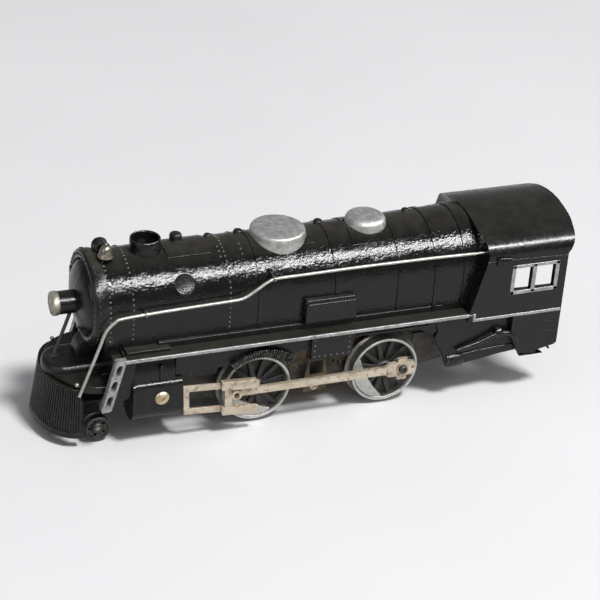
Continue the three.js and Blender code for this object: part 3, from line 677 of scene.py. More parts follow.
def make_fittings():
    crown = BOILER_Z + boiler_radius(STACK.x)
    stack = [(0, crown - 1.6), (4.9, crown - 1.6), (5.0, 74.0), (5.15, 74.6), (5.45, 74.8), (5.75, 74.5),
             (5.75, 72), (5.7, crown + 0.5), (6.0, crown + 0.1), (6.0, crown - 1), (0, crown - 2.2)]
    piece("stack", lumpy(seated(stack, STACK), 2, 0.08), STACK_ENAMEL, bevel=0, stands_for=["smokestack"])
    crown = BOILER_Z + boiler_radius(SAND.x)
    sand = [(0, crown - 3), (10.9, crown - 3), (10.9, crown + 0.2), (10.75, crown + 0.5), (10.55, 71.2),
            (10.5, 72.0), (10.2, 72.45), (9.5, 72.7), (6, 72.9), (0, 73.0)]
    piece("sand_dome_cap", lumpy(seated(sand, SAND), 3, 0.09), DOME_SILVER, bevel=0,
          stands_for=["sand_dome"])
    crown = BOILER_Z + boiler_radius(STEAM.x)
    steam = [(0, crown - 3), (8.0, crown - 3), (8.0, crown + 0.3), (7.85, crown + 0.6), (7.75, 72.0),
             (7.4, 72.7), (6.7, 73.3), (5.6, 73.7), (4.2, 73.9), (0, 74.0)]
    piece("steam_dome_cap", lumpy(seated(steam, STEAM), 3, 0.09), DOME_SILVER, bevel=0,
          stands_for=["steam_dome"])


def make_bell_and_generator():
    at = local(middle("bell"))
    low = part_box("bell")[1].z / MM - 5.6
    bell = [(0, low + 0.2), (2.5, low + 0.2), (3.0, low), (2.95, low + 0.4), (2.5, low + 1.1),
            (2.2, low + 2.4), (1.75, low + 3.6), (1.2, low + 4.3), (0.5, low + 4.6), (0, low + 4.6)]
    crown = [(0, low + 4.5), (0.6, low + 4.5), (0.5, low + 4.9), (0.65, low + 5.2), (0.4, low + 5.5),
             (0, low + 5.6)]
    shape = join(lathe(bell, "z", at.xy.to_3d(), 32), lathe(crown, "z", at.xy.to_3d(), 20))
    piece("bell_body", shape, BELL_BRASS, bevel=0.1, stands_for=["bell"])
    yoke = join(block(at.x - 0.5, at.x + 0.5, at.y - 3.5, at.y - 2.9, low - 2, low + 5.2),
                block(at.x - 0.5, at.x + 0.5, at.y - 3.5, at.y, low + 4.8, low + 5.3))
    piece("bell_yoke", yoke, DARK_METAL, bevel=0.15)
    low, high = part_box("turbo_generator")
    drum_at = local((low + high) / 2 / MM)
    y0, y1 = low.y / MM, high.y / MM
    z = high.z / MM - 3.2
    drum = [(0, y0 + 0.2), (2.4, y0), (2.9, y0 + 0.3), (3.15, y0 + 0.8), (2.9, y0 + 1.2), (2.9, y1 - 1.5),
            (3.2, y1 - 1.2), (3.2, y1 - 0.4), (2.8, y1 - 0.1), (1.3, y1), (1.1, y1 - 0.3), (0, y1 - 0.3)]
    drum = lumpy(lathe(drum, "y", (drum_at.x, 0, z), 40), 1.6, 0.08)
    foot = block(drum_at.x - 1.8, drum_at.x + 1.8, y0 + 1, y1 - 1, z - 4.2, z - 2)
    piece("generator_drum", join(drum, foot), DECK_PAINT, bevel=0.15,
          stands_for=["turbo_generator"])


# -------- running board and sides


def make_board():
    x0, x1, y, low, high = (BOARD[key] for key in ("x0", "x1", "y", "low", "high"))
    board = both(block(x0 - 2, x1, 14, y - 0.35, low, high))
    ledge = both(block(-52, 66, 14, 18.9, 37.5, 40.5))
    steps = both(block(62, 79, 14, 21.5, 37.5, 39.4))
    piece("running_board", lumpy(join(board, ledge, steps), 4, 0.06), SIDE_ENAMEL, bevel=0.3)
    bead = [block(x0, x1 + 0.4, y - 0.7, y, low + 0.5, high + 0.1),
            block(x0 - 0.8, x0 + 0.4, y - 0.6, y + 0.15, 34.7, high + 0.1),
            block(CAB["rear"] + 0.3, x0, y - 0.4, y + 0.2, 34.7, 36)]
    piece("board_stripes", lumpy(both(join(*bead)), 2.5, 0.1), STRIPE_SILVER, bevel=0.2)
    case = plate([(-11.8, 41), (9, 41), (9, 48.4), (8.2, 49.4), (-11, 49.4), (-11.8, 48.4)], "xz", 16, 20.9)
    lid = plate([(-11.6, 48.6), (9.2, 48.6), (9.2, 49.6), (8.4, 50.6), (-10.8, 50.6), (-11.6, 49.6)],
                "xz", 16, 20)
    piece("reservoir_boxes", lumpy(both(join(case, lid)), 4, 0.06), SIDE_ENAMEL, bevel=0.5)


def make_side_plates():
    skirt = plate([(-44, 36.6), (-46, 31), (-44, 29.5), (-38, 33), (-12, 33.4), (-9.5, 31.2), (7, 31.2),
                   (8.5, 30.5), *arc(HALF_BASE, AXLE_Z, 17.4, 128, 52, 12), (42, 28), (60, 27.4), (60, 36.6)],
                  "xz", 20.4, 21.9)
    ledge = block(-42, -12, 21, 22.9, 34.0, 34.9)
    lower = block(43, 59, 15, 20.6, 24.6, 28.6)
    piece("side_skirts", lumpy(both(join(skirt, ledge, lower)), 4, 0.06), SIDE_ENAMEL, bevel=0.25)
    hanger = plate([(-9.9, 36.6), (-9.9, 27.4), (-9.1, 26.5), (6.8, 26.5), (7, 36.6)], "xz", 21.6, 23.8)
    piece("hanger_plates", lumpy(both(hanger), 3, 0.05), SIDE_ENAMEL, bevel=0.25)
    spots = [(x, 23.8, 28.0) for x in (-8.4, -6, -3.6, -1.2, 1.2, 3.6)]
    spots += [(-8.4, 23.8, z) for z in (30.4, 32.8, 35.2)] + [(5.6, 23.8, z) for z in (28, 30.4, 32.8, 35.2)]
    heads = rivets([(Vector(p), (0, 1, 0)) for p in spots], 0.42, 0.3)
    # The hanger rivets carry painted highlights in their lighter grey.
    piece("hanger_rivets", both(heads), RIVET_HIGHLIGHT_PAINT, bevel=0)
    guard = plate(arc(HALF_BASE, AXLE_Z, 16.3, 49, 133, 24) + arc(HALF_BASE, AXLE_Z, 18.3, 133, 49, 24),
                  "xz", 20.6, 23.6)
    ribs = []
    for i in range(27):
        angle = 50.5 + 3.1 * i
        rib = block(16.1, 19.4, 20.8, 24.2, -0.28, 0.28)
        ribs.append(moved(turned(rib, -angle), HALF_BASE, 0, AXLE_Z))
    piece("wheel_guards", both(join(guard, *ribs)), STACK_ENAMEL, bevel=0.15)


def make_firebox():
    side = plate([(-44, 36.6), (-46, 31), (-45, 28), (-49.2, 20), (-51, 15), (-52.4, 14), (-58, 14.6),
                  (-66, 15.6), (-74, 16.8), (-80, 17.4), (-82, 18.2), (-84, 36.6)], "xz", 20.4, 22.4)
    piece("firebox_sides", lumpy(both(side), 2.2, 0.2), SIDE_ENAMEL, bevel=0.35)
    feed = [(-54.5, 23.4, 21.6), (-58.6, 23.8, 23.0), (-62.9, 24.0, 24.2), (-67, 24.2, 26),
            (-71.1, 24.4, 27.4), (-75, 24.4, 27.2), (-78.1, 24.4, 25.5), (-80.2, 24.2, 22.2), (-82, 24, 18.9),
            (-85.2, 23.8, 16.4)]
    pipe = both(tube(smooth_path(feed), 0.95, 12))
    boss = both(lathe([(0, 21.8), (2.0, 21.8), (2.0, 24.6), (1.4, 25.2), (0, 25.3)],
                      "y", (-71.6, 0, 27.6), 20))
    ash_line = both(tube([(-52, 22.4, 18.4), (-64, 22.5, 19.8), (-79, 22.4, 20.6)], 0.5, 10))
    piece("firebox_pipes", join(pipe, boss, ash_line), ENAMEL, bevel=0.2)
    stub = [(0, -58), (3.0, -58), (3.5, -57.4), (3.5, -52), (3.2, -51.5), (0, -51.5)]
    piece("firebox_bosses", lumpy(both(lathe(stub, "x", (0, 20.6, 16.8), 32)), 2, 0.12), SIDE_ENAMEL, bevel=0)
    face = [(0, -51.8), (3.1, -51.8), (3.0, -51.4), (2.2, -51.25), (0, -51.25)]
    piece("boss_faces", lumpy(both(lathe(face, "x", (0, 20.6, 16.8), 32)), 1.2, 0.08), BELL_BRASS,
          bevel=0)


def make_cylinders():
    section = [(11.5, 14), (14.5, 10.2), (17.5, 9.6), (21.4, 10), (23.6, 12.2), (24, 14.5), (24, 24.6),
               (23.2, 26), (21.8, 26.6), (11.5, 26.6)]
    body = plate(section, "yz", 57.8, 76.2)
    body = cut(body, peg(1.75, 17.6, 30, "y", (SCREW.x, 0, SCREW.z)))
    fin = plate([(y + (0.5 if y > 12 else 0), z) for y, z in section], "yz", 75.6, 76.9)
    head = plate(section, "yz", 57.4, 58.6)
    chest = plate([(14, 26.2), (22.6, 26.2), (22.6, 30.5), (21.4, 32.6), (20.6, 37), (14, 37)],
                  "yz", 60.2, 76.2)
    rib = block(65, 66.4, 20, 23.2, 26.4, 33)
    piece("cylinder_blocks", lumpy(both(join(body, fin, head, chest, rib)), 3.5, 0.07), CAB_ENAMEL,
          bevel=0.35)
    apron = plate([(75.5, 37), (80.5, 37), (87, 19), (83, 17.6), (77.5, 20.5), (76.2, 27)], "xz", 20.8, 22.6)
    saddle = block(60, 84, -20.8, 20.8, 26, 37)
    floor = block(60, 86, -14, 14, 20, 27)
    piece("front_saddle", lumpy(join(both(apron), saddle, floor), 3.5, 0.07), SIDE_ENAMEL, bevel=0.4)


def make_ladders():
    top, foot, width = Vector((79.7, 38.2)), Vector((85.2, 17.0)), 3.9

    def at(t, across):
        point = top.lerp(foot, t)
        return (point.x + across, point.y)

    rail = plate([at(0, 0), at(0.97, 0), at(1, 0.6), at(1, width - 0.6), at(0.97, width), at(0, width)],
                 "xz", 22.2, 24.7)
    slots = []
    for start in (0.09, 0.39, 0.69):
        length = 0.2
        ends = [at(start, 1.5), at(start + 0.03, 1.0), at(start + length - 0.03, 1.0),
                at(start + length, 1.5), at(start + length, 2.4), at(start + length - 0.03, 2.9),
                at(start + 0.03, 2.9), at(start, 2.4)]
        slots.append(plate(ends, "xz", 20, 26))
    backing = plate([at(0.02, 0.4), at(0.96, 0.4), at(0.96, width - 0.4), at(0.02, width - 0.4)],
                    "xz", 21.4, 22.3)
    piece("step_ladders", lumpy(both(cut(rail, *slots)), 2.5, 0.08), STRIPE_SILVER, bevel=0.2)
    piece("ladder_backs", both(backing), SIDE_ENAMEL, bevel=0.1)


# -------- front deck and pilot


def nose(half_width, x0, x1, reach, steps=28):
    """A deck outline with a half-oval front."""
    curve = [(x1 + reach * cos(a), half_width * sin(a))
             for a in (radians(-90 + 180 * i / steps) for i in range(steps + 1))]
    return [(x0, -half_width)] + curve + [(x0, half_width)]


PILOT = {"x0": 94.6, "reach": 10.0, "half": 18.0, "foot": 4.2, "top": 24.6, "flare": 0.32}


def pilot_point(around, z, lift=0.0):
    spread = 1 + PILOT["flare"] * (PILOT["top"] - z) / (PILOT["top"] - PILOT["foot"])
    angle = radians(around)
    x = PILOT["x0"] + (PILOT["reach"] * spread + lift) * cos(angle)
    return Vector((x, (PILOT["half"] * (1 + (spread - 1) * 0.25) + lift) * sin(angle), z))


def pilot_band(low, high, out, back, steps=40):
    """A U-shaped rail round the pilot between two heights."""
    sections = []
    for i in range(steps + 1):
        angle = -90 + 180 * i / steps
        sections.append([pilot_point(angle, low, out), pilot_point(angle, high, out),
                         pilot_point(angle, high, back), pilot_point(angle, low, back)])
    return loft(sections)


def make_deck_and_pilot():
    lower = plate(nose(21, 76, 86, 17.6), "xy", 22.8, 25.9)
    piece("front_deck", lumpy(lower, 4, 0.08), DECK_PAINT, bevel=0.5)
    levels = ((24.4, 0), (26.6, 0), (27.6, 0.25), (28.3, 0.7), (28.8, 1.5), (29.05, 2.8), (29.1, 5))
    raised = loft([[(x, y, z) for x, y in nose(9.1 - inset, 81 + inset / 10, 96.5, 8.6 - inset)]
                   for z, inset in levels])
    pedestal = plate([(80, 26), (93.3, 26), (93.1, 31.8), (92.2, 34.2), (90.8, 36), (89.4, 37.4), (80, 38)],
                     "xz", -3.6, 3.6)
    piece("raised_deck", lumpy(raised, 4, 0.06), DECK_PAINT, bevel=0)
    piece("smokebox_pedestal", lumpy(pedestal, 4, 0.08), SIDE_ENAMEL, bevel=0.8)
    stud = [(0, 25.5), (0.8, 25.5), (0.8, 26.3), (0.5, 26.7), (0, 26.8)]
    piece("deck_bolts", both(lathe(stud, "z", (96.3, 17.2, 0), 16)), RAIL, bevel=0.1)
    bars = []
    for i in range(-21, 22):
        angle = i * 4.1
        spine = [pilot_point(angle, z, 0.3) for z in (5.0, 9, 13, 17, 21, 24.4)]
        bars.append(tube(spine, 0.46, 8))
    rails = [pilot_band(PILOT["foot"], 6.4, 0.75, -1.3), pilot_band(22.6, 24.2, 0.2, -1.5)]
    piece("pilot_bars", join(*rails, *bars), DECK_PAINT, bevel=0.2, stands_for=["pilot"])
    rod = tube([(94.2, 0, 47.6), (100.5, 0, 29.2)], 0.7, 14)
    foot = block(98.6, 102.2, -0.9, 0.9, 28.7, 29.5)
    piece("brace_rod", join(rod, foot), DARK_METAL, bevel=0.1, stands_for=["front_brace"])


# -------- cab


def cab_section(inset, floor, steps=10):
    """From the right foot over the arched roof to the left foot."""
    half, eave, top = CAB["half"] - inset, CAB["eave"], CAB["top"] - inset
    shoulder = eave + 7.2 - inset

    def curve(p0, p1, p2):
        return [((1 - t) ** 2 * p0[0] + 2 * t * (1 - t) * p1[0] + t * t * p2[0],
                 (1 - t) ** 2 * p0[1] + 2 * t * (1 - t) * p1[1] + t * t * p2[1])
                for t in (i / steps for i in range(1, steps + 1))]

    left = [(half, floor), (half, eave),
            *curve((half, eave), (half, eave + 5 - inset / 2), (half - 5, shoulder)),
            *curve((half - 5, shoulder), (half / 2.6, top), (0, top))]
    return [(-y, z) for y, z in left] + list(reversed(left))[1:]


def cab_loft(stations, inset, floor):
    return loft([[(x, y, z) for y, z in cab_section(inset, floor)] for x in stations])


ROOF_FRONT = -61.6


def ahead_of_cab(shift=0.0):
    """What lies ahead of the cab's front, which leans back as far as the roof's front edge."""
    face = [(-57.2, 10), (-57.2, 38), (-58.1, 41), (-62.7, 59.4), (-63.3, 63), (-63.0, 66.5),
            (ROOF_FRONT, 70), (ROOF_FRONT, 100)]
    return plate([(x - shift, z) for x, z in face] + [(-20, 100), (-20, 10)], "xz", -40, 40)


def make_cab():
    shell = cab_loft((CAB["rear"], -76, -50), 0, CAB["floor"])
    roof = cab_loft((CAB["roof_rear"], -80, -52), 0, 59.4)
    hollow = cut(cab_loft((-120, -50), 2.2, 5), ahead_of_cab(2.4))
    behind = plate([(-130, 100), (-101.8, 100), (-101.8, 70), (-100.6, 67), (-99.6, 64.4), (-98.2, 61.6),
                    (-97.2, 60.2), (-97.2, 0), (-130, 0)], "xz", -40, 40)
    below = plate([(-40, 34.7), (-77, 34.7), (-77, 25), (-80.8, 17.4), *arc(-84.4, 17.6, 3.3, -160, -20, 8),
                   (-88.2, 18.8), *arc(-91.6, 19.2, 3.1, -160, -25, 8), (-96.2, 19.4), (-97.4, 20.6),
                   (-110, 20.6), (-110, 0), (-40, 0)], "xz", -40, 40)
    windows = [plate([(x0, 46.2), (x1, 46.4), (x1, 56.4), (x0, 56.2)], "xz", -40, 40)
               for x0, x1 in ((-82.4, -75.2), (-92.2, -84.2))]
    door = peg(boiler_radius(-60) - 0.6, -70, -40, "x", (0, 0, BOILER_Z), 48)
    body = cut(fused(shell, roof), ahead_of_cab(), behind, hollow, below, *windows, door)
    piece("cab_shell", lumpy(body, 6, 0.06), CAB_ENAMEL, bevel=0.35)

    strips = ((-93.8, -73.6, 44.8, 46.3), (-93.8, -73.6, 56.2, 57.6), (-75.2, -73.6, 44.8, 57.6),
              (-93.8, -92.2, 44.8, 57.6), (-84.1, -82.4, 45, 57.4))
    frames = [block(x0, x1, CAB["half"] - 0.4, CAB["half"] + 0.28, z0, z1) for x0, x1, z0, z1 in strips]
    piece("window_frames", both(join(*frames)), STRIPE_SILVER, bevel=0.15)

    half, eave = CAB["half"], CAB["eave"]
    gutter = smooth_path([(-62.5, half + 0.1, eave - 0.2), (-80, half + 0.15, eave - 0.4),
                          (-96.6, half + 0.1, eave - 1)])
    irons = [(-66.9, 24.6, 58.9), (-66.8, 25.6, 59.2), (-66.9, 25.9, 61.2), (-68.2, 25.9, 61.7),
             (-72.5, 25.7, 61.2)]
    treads = [block(-95.6, -89.8, half - 0.3, half + 0.22, z, z + 0.5) for z in (21.3, 25.8, 30.2)]
    seam = block(-77.2, -76.5, half - 0.3, half + 0.12, 25, 34.8)
    trim = both(join(tube(gutter, 0.3, 8), tube(smooth_path(irons), 0.42, 10), *treads, seam))
    piece("cab_trim", trim, CAB_ENAMEL, bevel=0.08)
    piece("frame_crossbar", block(-86, -80.2, -23, 23, 22, 25.8), DARK_METAL, bevel=0.3)


# -------- handrail, as x and z


RAIL_Y = 20.5
RAIL_ROUTE = ((-59.2, 62.4), (-40, 62.8), (-11.4, 62.9), (12, 62.6), (22, 62.4), (25.2, 61.3), (28.8, 59),
              (32.4, 56.7), (35.6, 55.5), (41, 55.2), (61.9, 54.6), (80.1, 53.7), (83.6, 52.4), (86.4, 49.6),
              (87.8, 46.6), (89.2, 42.3), (96.3, 22.9))
POSTS = ((71.7, 54.1), (22.6, 62.3))


def rail_post(x, z):
    """A pin on the boiler's side and a collar round the wire."""
    foot = sqrt(boiler_radius(x) ** 2 - max(z - BOILER_Z, 0) ** 2) - 0.6
    pin = lathe([(0, foot), (1.3, foot), (1.3, foot + 0.9), (0.6, foot + 1.2), (0.6, 19.8), (0, 19.8)],
                "y", (x, 0, z), 16)
    collar = [(0, -0.6), (0.8, -0.6), (1.05, -0.4), (1.05, 0.4), (0.8, 0.6), (0, 0.6)]
    return pin, moved(lathe(collar, "x", (0, RAIL_Y, z), 20), x)


def make_handrail():
    route = [(x, RAIL_Y, z) for x, z in RAIL_ROUTE]
    end = peg(0.5, -63, -59, "x", (0, RAIL_Y, 62.4), 12)
    piece("handrail_wire", join(tube(smooth_path(route, 6), 0.6), end), RAIL, bevel=0,
          stands_for=["handrail"])
    pins, collars = zip(*(rail_post(*post) for post in POSTS))
    piece("handrail_pins", join(*pins), ENAMEL, bevel=0)
    piece("handrail_collars", join(*collars), BELL_BRASS, bevel=0,
          stands_for=["front_rail_post", "middle_rail_post"])


# -------- wheels


def spoke(inner, outer, y0, y1, root, tip):
    """A tapered spoke along +X."""
    return loft([[(inner, y0, -root), (inner, y1 - 0.2, -root), (inner, y1, 0), (inner, y1 - 0.2, root),
                  (inner, y0, root)],
                 [(outer, y0, -tip), (outer, y1 - 0.5, -tip), (outer, y1 - 0.3, 0), (outer, y1 - 0.5, tip),
                  (outer, y0, tip)]])


def make_driver(node, axle_x, weight, cranked):
    """A spoked driving wheel; its counterweight stands at an angle in degrees."""
    side = node.split("_")[-1]
    body = node.split("_")[0] + "_wheelset"
    flange = AXLE_Z
    tyre = [(12.1, 14.4), (flange - 0.9, 14.05), (flange - 0.2, 14.3), (flange, 14.8), (flange - 0.25, 15.2),
            (14.0, 15.5), (13.75, 15.9), (13.7, 18.9), (13.5, 19.35), (13.1, 19.5), (12.55, 19.4),
            (12.3, 19.0), (12.1, 17)]
    tread = lathe(tyre, "y", segments=96, closed=True)
    web = lathe([(1.75, 14.2), (12.3, 14.2), (12.3, 16.6), (4, 16.6), (3.5, 18.9), (3.1, 19.3), (1.75, 19.3)],
                "y", segments=64, closed=True)
    spokes = [turned(spoke(3, 12.4, 16, 18.6, 1.05, 0.7), -(30 * i + 15)) for i in range(12)]
    parts = [web, *spokes]
    if cranked:
        arm = degrees(atan2(CRANK.z - AXLE_Z, CRANK.x + HALF_BASE))
        throw = hypot(CRANK.z - AXLE_Z, CRANK.x + HALF_BASE)
        boss = lathe([(1.75, 16), (3.2, 16), (3.1, 19.1), (2.8, 19.4), (1.75, 19.4)],
                     "y", (throw, 0, 0), 32, True)
        parts.append(turned(boss, -arm))
    chord = radians(56)
    crescent = [(12.5 * cos(a), 12.5 * sin(a)) for a in (-chord + 2 * chord * i / 20 for i in range(21))]
    inner = [(7.2 + 1.1 * (1 - (j / 6) ** 2) - 1.1, 10.2 * j / 6) for j in range(6, -7, -1)]
    counterweight = turned(plate(crescent + inner, "xz", 16.2, 18.9), -weight)

    def finish(name, bm, material, bevel, stands_for=()):
        bm = moved(on_side(side, bm), axle_x, 0, AXLE_Z)
        piece(f"{node}_{name}", bm, material, body, bevel, stands_for)

    finish("tyre", tread, TYRE_STEEL, 0)
    ring = lathe([(12.85, 19.15), (13.6, 19.15), (13.66, 19.4), (13.4, 19.6), (13.0, 19.6), (12.75, 19.4)],
                 "y", segments=96, closed=True)
    finish("rim", ring, RIM_STEEL, 0)
    finish("centre", join(*parts), WHEEL, 0.15, [node])
    finish("weight", lumpy(counterweight, 3, 0.05), RIM_STEEL, 0.25)


def make_truck_wheel(node, axle, body):
    side = node.split("_")[-1]
    profile = [(1.05, 14.0), (5.2, 14.0), (axle.z, 14.35), (axle.z - 0.1, 14.8), (5.0, 15.2), (4.9, 15.6),
               (4.9, 17.7), (4.6, 18), (4.1, 18), (3.8, 17.2), (2.4, 16.9), (2.2, 17.6), (1.7, 18),
               (1.05, 18)]
    wheel = lathe(profile, "y", segments=48, closed=True)
    holes = [peg(0.62, 13, 19, "y", (3.1 * cos(a), 0, 3.1 * sin(a)), 12)
             for a in (radians(72 * i) for i in range(5))]
    wheel = on_side(side, cut(wheel, *holes))
    piece(f"{node}_disc", moved(wheel, axle.x, 0, axle.z), WHEEL, body, 0.12, [node])


def make_wheels():
    for side in ("left", "right"):
        make_driver(f"rear_driver_{side}", -HALF_BASE, 330, True)
        make_driver(f"front_driver_{side}", HALF_BASE, 297, False)
        make_truck_wheel(f"pilot_wheel_{side}", PILOT_AXLE, "pilot_wheelset")


# -------- rods


EYE = (36.0, 16.0)


def make_main_rod(side):
    low, high = 21.5, 22.8
    length = hypot(EYE[0] - CRANK.x, EYE[1] - CRANK.z)
    slope = degrees(atan2(EYE[1] - CRANK.z, EYE[0] - CRANK.x))
    top = [(7.4, 1.75), (length - 2.2, 1.45), *[(length + 2.2 * sin(radians(a)), 2.2 * cos(radians(a)))
                                               for a in range(-20, 91, 22)]]
    end = [(-5.4, 1.2), (-4.6, 2.9), (-2.0, 3.1), (-1.9, 4.4), (-1.5, 4.7), (1.7, 4.7), (2.1, 4.4),
           (2.2, 3.1), (5.4, 3.1)]
    outline = end + top
    outline = outline + [(x, -z) for x, z in reversed(outline)]
    blank = plate(outline, "xz", low, high)
    holes = [peg(1.75, 20, 25, "y", (0, 0, 0), 32), peg(1.0, 20, 25, "y", (length, 0, 0)),
             peg(0.4, 20, 25, "y", (-4.1, 0, 0.1), 12)]
    rod = cut(blank, *holes)
    collar = lathe([(1.8, high - 0.1), (2.5, high - 0.1), (2.4, high + 0.22), (1.8, high + 0.22)], "y",
                   (0, 0, 0), 32, True)
    rod = on_side(side, moved(turned(join(rod, collar), -slope), CRANK.x, 0, CRANK.z))
    piece(f"main_rod_{side}_bar", lumpy(rod, 5, 0.03), TINNED, f"main_rod_{side}", 0.15,
          [f"main_rod_{side}"])
    pin = [(0, 18.4), (1.55, 18.4), (1.55, 23.2), (1.7, 23.3), (1.7, 23.9), (1.45, 24.2), (1.0, 24.1),
           (0.9, 23.6), (0, 23.6)]
    pin = on_side(side, lathe(pin, "y", (CRANK.x, 0, CRANK.z), 32))
    piece(f"crank_pin_{side}", pin, BLACKENED, "rear_wheelset", 0.08,
          [f"crank_screw_{side}"])


GUIDE = {"slope": radians(3.2), "x": 57.4, "z": 16.9}


def guide_point(along, across):
    """A place on the sloping crosshead guide, from its fixed front end."""
    slope = GUIDE["slope"]
    return (GUIDE["x"] - along * cos(slope) + across * sin(slope),
            GUIDE["z"] - along * sin(slope) + across * cos(slope))


def guide_plate(points, y0, y1):
    return plate([guide_point(*p) for p in points], "xz", y0, y1)


def make_guide_and_crosshead(side):
    yoke = guide_plate([(0.3, -6.3), (24.7, -6.3), (25, -6), (25, -3.7), (2.9, -3.7), (2.6, -3.4), (2.6, 3.4),
                        (2.9, 3.7), (25, 3.7), (25, 6), (24.7, 6.3), (0.3, 6.3)], 23.2, 24.1)
    piece(f"guide_bars_{side}", lumpy(on_side(side, yoke), 4, 0.03), TINNED, "chassis", 0.12,
          [f"crosshead_guide_{side}"])
    upper = guide_plate([(15, 3.6), (29, 3.6), (30.2, 4.6), (30.2, 6.6), (29.6, 7.2), (28.4, 7.4),
                         (15.3, 7.4), (15, 7)], 24.4, 25.4)
    lip = guide_plate([(15.2, 6.6), (29.2, 6.6), (29.2, 7.3), (15.2, 7.3)], 23.2, 24.6)
    lower = guide_plate([(15, -3.6), (20, -3.6), (21.5, -4.6), (23, -3.8), (29, -3.8), (30.2, -4.8),
                         (30, -6.8), (28.6, -7.4), (15.3, -7.4), (15, -7)], 24.4, 25.4)
    low_lip = guide_plate([(15.2, -6.6), (29.2, -6.6), (29.2, -7.3), (15.2, -7.3)], 23.2, 24.6)
    web = guide_plate([(16.2, -4.2), (19.2, -4.2), (19.2, 4.2), (16.2, 4.2)], 24.5, 25.3)
    inner = guide_plate([(16.3, -3.3), (19, -3.3), (19, 3.3), (16.3, 3.3)], 23.3, 24.8)
    eye = lathe([(1.0, 23.25), (2.3, 23.25), (2.2, 24.3), (1.0, 24.3)], "y", (EYE[0], 0, EYE[1]), 28, True)
    eye_arm = guide_plate([(18.6, -1.2), (20.4, -1.0), (20.4, 1.0), (18.6, 1.2)], 23.3, 24.1)
    shape = on_side(side, join(upper, lip, lower, low_lip, web, inner, eye, eye_arm))
    piece(f"crosshead_{side}_shoe", lumpy(shape, 4, 0.03), TINNED, f"crosshead_{side}", 0.15,
          [f"crosshead_{side}"])
    head = [(0, 18.6), (1.35, 18.6), (1.35, 24.1), (2.7, 24.1), (2.75, 24.4), (2.3, 25), (1.4, 25.35),
            (0, 25.5)]
    screw = cut(lathe(head, "y", (SCREW.x, 0, SCREW.z), 40),
                moved(turned(block(-4, 4, 24.85, 27, -0.35, 0.35), 35), SCREW.x, 0, SCREW.z))
    piece(f"cylinder_screw_{side}_head", on_side(side, screw), BRASS, "chassis", 0.06,
          [f"cylinder_screw_{side}"])


# -------- carried-over pieces and under-gear


CARRIED = {
    "bare_steel": STEEL, "blackened_steel": BLACKENED, "tinned_steel": TINNED, "brass": BRASS,
    "copper_winding": COPPER, "brown_fibre": FIBRE, "carbon": CARBON, "black_wheel": WHEEL,
    "black_enamel": ENAMEL, "dull_black_paint": DECK_PAINT, "silver_paint": DOME_SILVER,
    "cream_lens": LENS, "clear_glass": BULB,
}


def dress_cad_nodes():
    # Motor plates get the near-black steel, whose darkness is partly painted shade; gears get dark tarnished
    # brass.
    dark = {"motor_plate": DARK_STEEL_GRIME_AND_SHADE, "gear": GEAR_BRASS}
    for subpart in frame["record"]["subparts"]:
        name = subpart["node"]
        darkened = [material for word, material in dark.items() if word in name]
        node = frame["nodes"][name]
        node.data.materials.clear()
        node.data.materials.append(darkened[0] if darkened else CARRIED[subpart["material_slot"]])
        round_edges(node, 0.12, 40)


def make_under_gear():
    screws = []
    for x, z in ((0.5, 8.6), (-13.5, 12.5), (13.5, 12.5)):
        head = cut(lathe([(0, 13.4), (1.9, 13.4), (1.9, 14.0), (1.3, 14.6), (0, 14.8)], "y", (x, 0, z), 24),
                   moved(turned(block(-3, 3, 14.35, 16, -0.28, 0.28), 25), x, 0, z))
        screws.append(head)
    stud = peg(1.1, 10.7, 13.6, "y", (0.5, 0, 8.6), 16)
    piece("motor_screws", join(*screws, stud), BRASS, bevel=0.06)
    # The rear lugs use the near-black steel, whose darkness is partly painted shade.
    lugs = both(plate([(-60, 24), (-60, 12), (-41.3, 9), (-41.3, 24)], "xz", 9.4, 10.6))
    piece("frame_lugs", lugs, DARK_STEEL_GRIME_AND_SHADE, bevel=0.15)
    hanger = plate([(-4.5, 36.4), (-3.4, 22), (-4.6, 12), (-4.6, 6.4), (5, 6.4), (5, 12), (3.6, 22),
                    (4.6, 36.4)], "xz", 13.5, 14.2)
    window = plate([(-2.6, 20), (-2.6, 14), (2.8, 14), (2.8, 20)], "xz", 12, 16)
    piece("motor_strap", cut(hanger, window), GEAR_BRASS, bevel=0.12)


# -------- room, light and camera


def make_room():
    half = 4.0
    corners = [(-half, -half, 0), (half, -half, 0), (half, half, 0), (-half, half, 0)]
    mesh = as_mesh("floor", mesh_of(corners, [(0, 1, 2, 3)]))
    mesh.materials.append(FLOOR)
    floor = placed("floor", mesh)
    world = bpy.data.worlds.new("studio")
    world.use_nodes = True
    sky = world.node_tree.nodes["Background"].inputs
    sky["Color"].default_value = (0.93, 0.94, 0.96, 1)
    sky["Strength"].default_value = 0.26
    bpy.context.scene.world = world
    bpy.context.scene.view_settings.view_transform = "Standard"


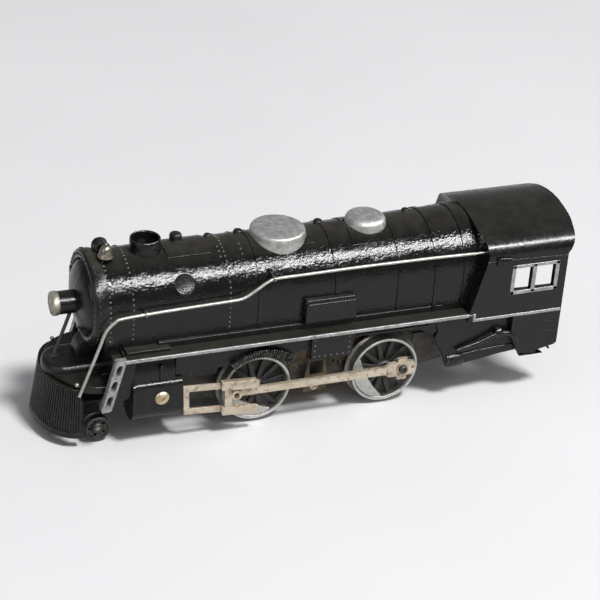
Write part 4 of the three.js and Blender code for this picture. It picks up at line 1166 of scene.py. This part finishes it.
def soft_light(name, direction, distance, width, height, power, matte=True, glossy=True, roll=0):
    """An area light that faces the part; it can be kept off matte surfaces or out of reflections."""
    data = bpy.data.lights.new(name, "AREA")
    data.shape = "RECTANGLE"
    data.size, data.size_y = width, height
    data.energy = power
    light = placed(name, data)
    towards = Vector(direction).normalized()
    light.location = towards * distance + Vector((0, 0, 0.03))
    light.rotation_mode = "QUATERNION"
    rolled = Quaternion((0, 0, 1), radians(roll))
    light.rotation_quaternion = towards.to_track_quat("Z", "X") @ rolled
    light.visible_diffuse = matte
    light.visible_glossy = glossy


def make_lights():
    soft_light("strip", (-0.36, 0.55, 0.75), 0.9, 0.12, 1.6, 38, matte=False, roll=-6)
    soft_light("key", (-0.22, 0.36, 0.91), 2.2, 0.4, 0.4, 41, glossy=False)
    soft_light("front_glow", (0.9, 0.45, 0.4), 1.4, 0.6, 0.6, 3, matte=False)


CAMERA = {"place": Vector((291.8, 675.3, 456.5)), "yaw": -23.15, "pitch": -29.6, "roll": 4.52,
          "lens": 132, "sensor": 36}


def make_camera():
    yaw, pitch, roll = (radians(CAMERA[key]) for key in ("yaw", "pitch", "roll"))
    forward = Vector((sin(yaw) * cos(pitch), -cos(yaw) * cos(pitch), sin(pitch)))
    level = Vector((-cos(yaw), -sin(yaw), 0))
    upright = level.cross(forward)
    right = cos(roll) * level + sin(roll) * upright
    up = cos(roll) * upright - sin(roll) * level
    data = bpy.data.cameras.new("camera")
    data.sensor_width = CAMERA["sensor"]
    data.lens = CAMERA["lens"]
    data.clip_start, data.clip_end = 0.01, 20
    camera = placed("camera", data)
    turn = Matrix((right, up, -forward)).transposed().to_4x4()
    camera.matrix_world = Matrix.Translation((CAMERA["place"] + Vector((ORIGIN_X, 0, 0))) * MM) @ turn
    bpy.context.scene.camera = camera


make_camera()
make_room()
make_lights()
dress_cad_nodes()
make_boiler()
make_boiler_details()
make_front()
make_fittings()
make_bell_and_generator()
make_board()
make_side_plates()
make_firebox()
make_cylinders()
make_ladders()
make_deck_and_pilot()
make_cab()
make_handrail()
make_wheels()
for hand in ("left", "right"):
    make_main_rod(hand)
    make_guide_and_crosshead(hand)
make_under_gear()
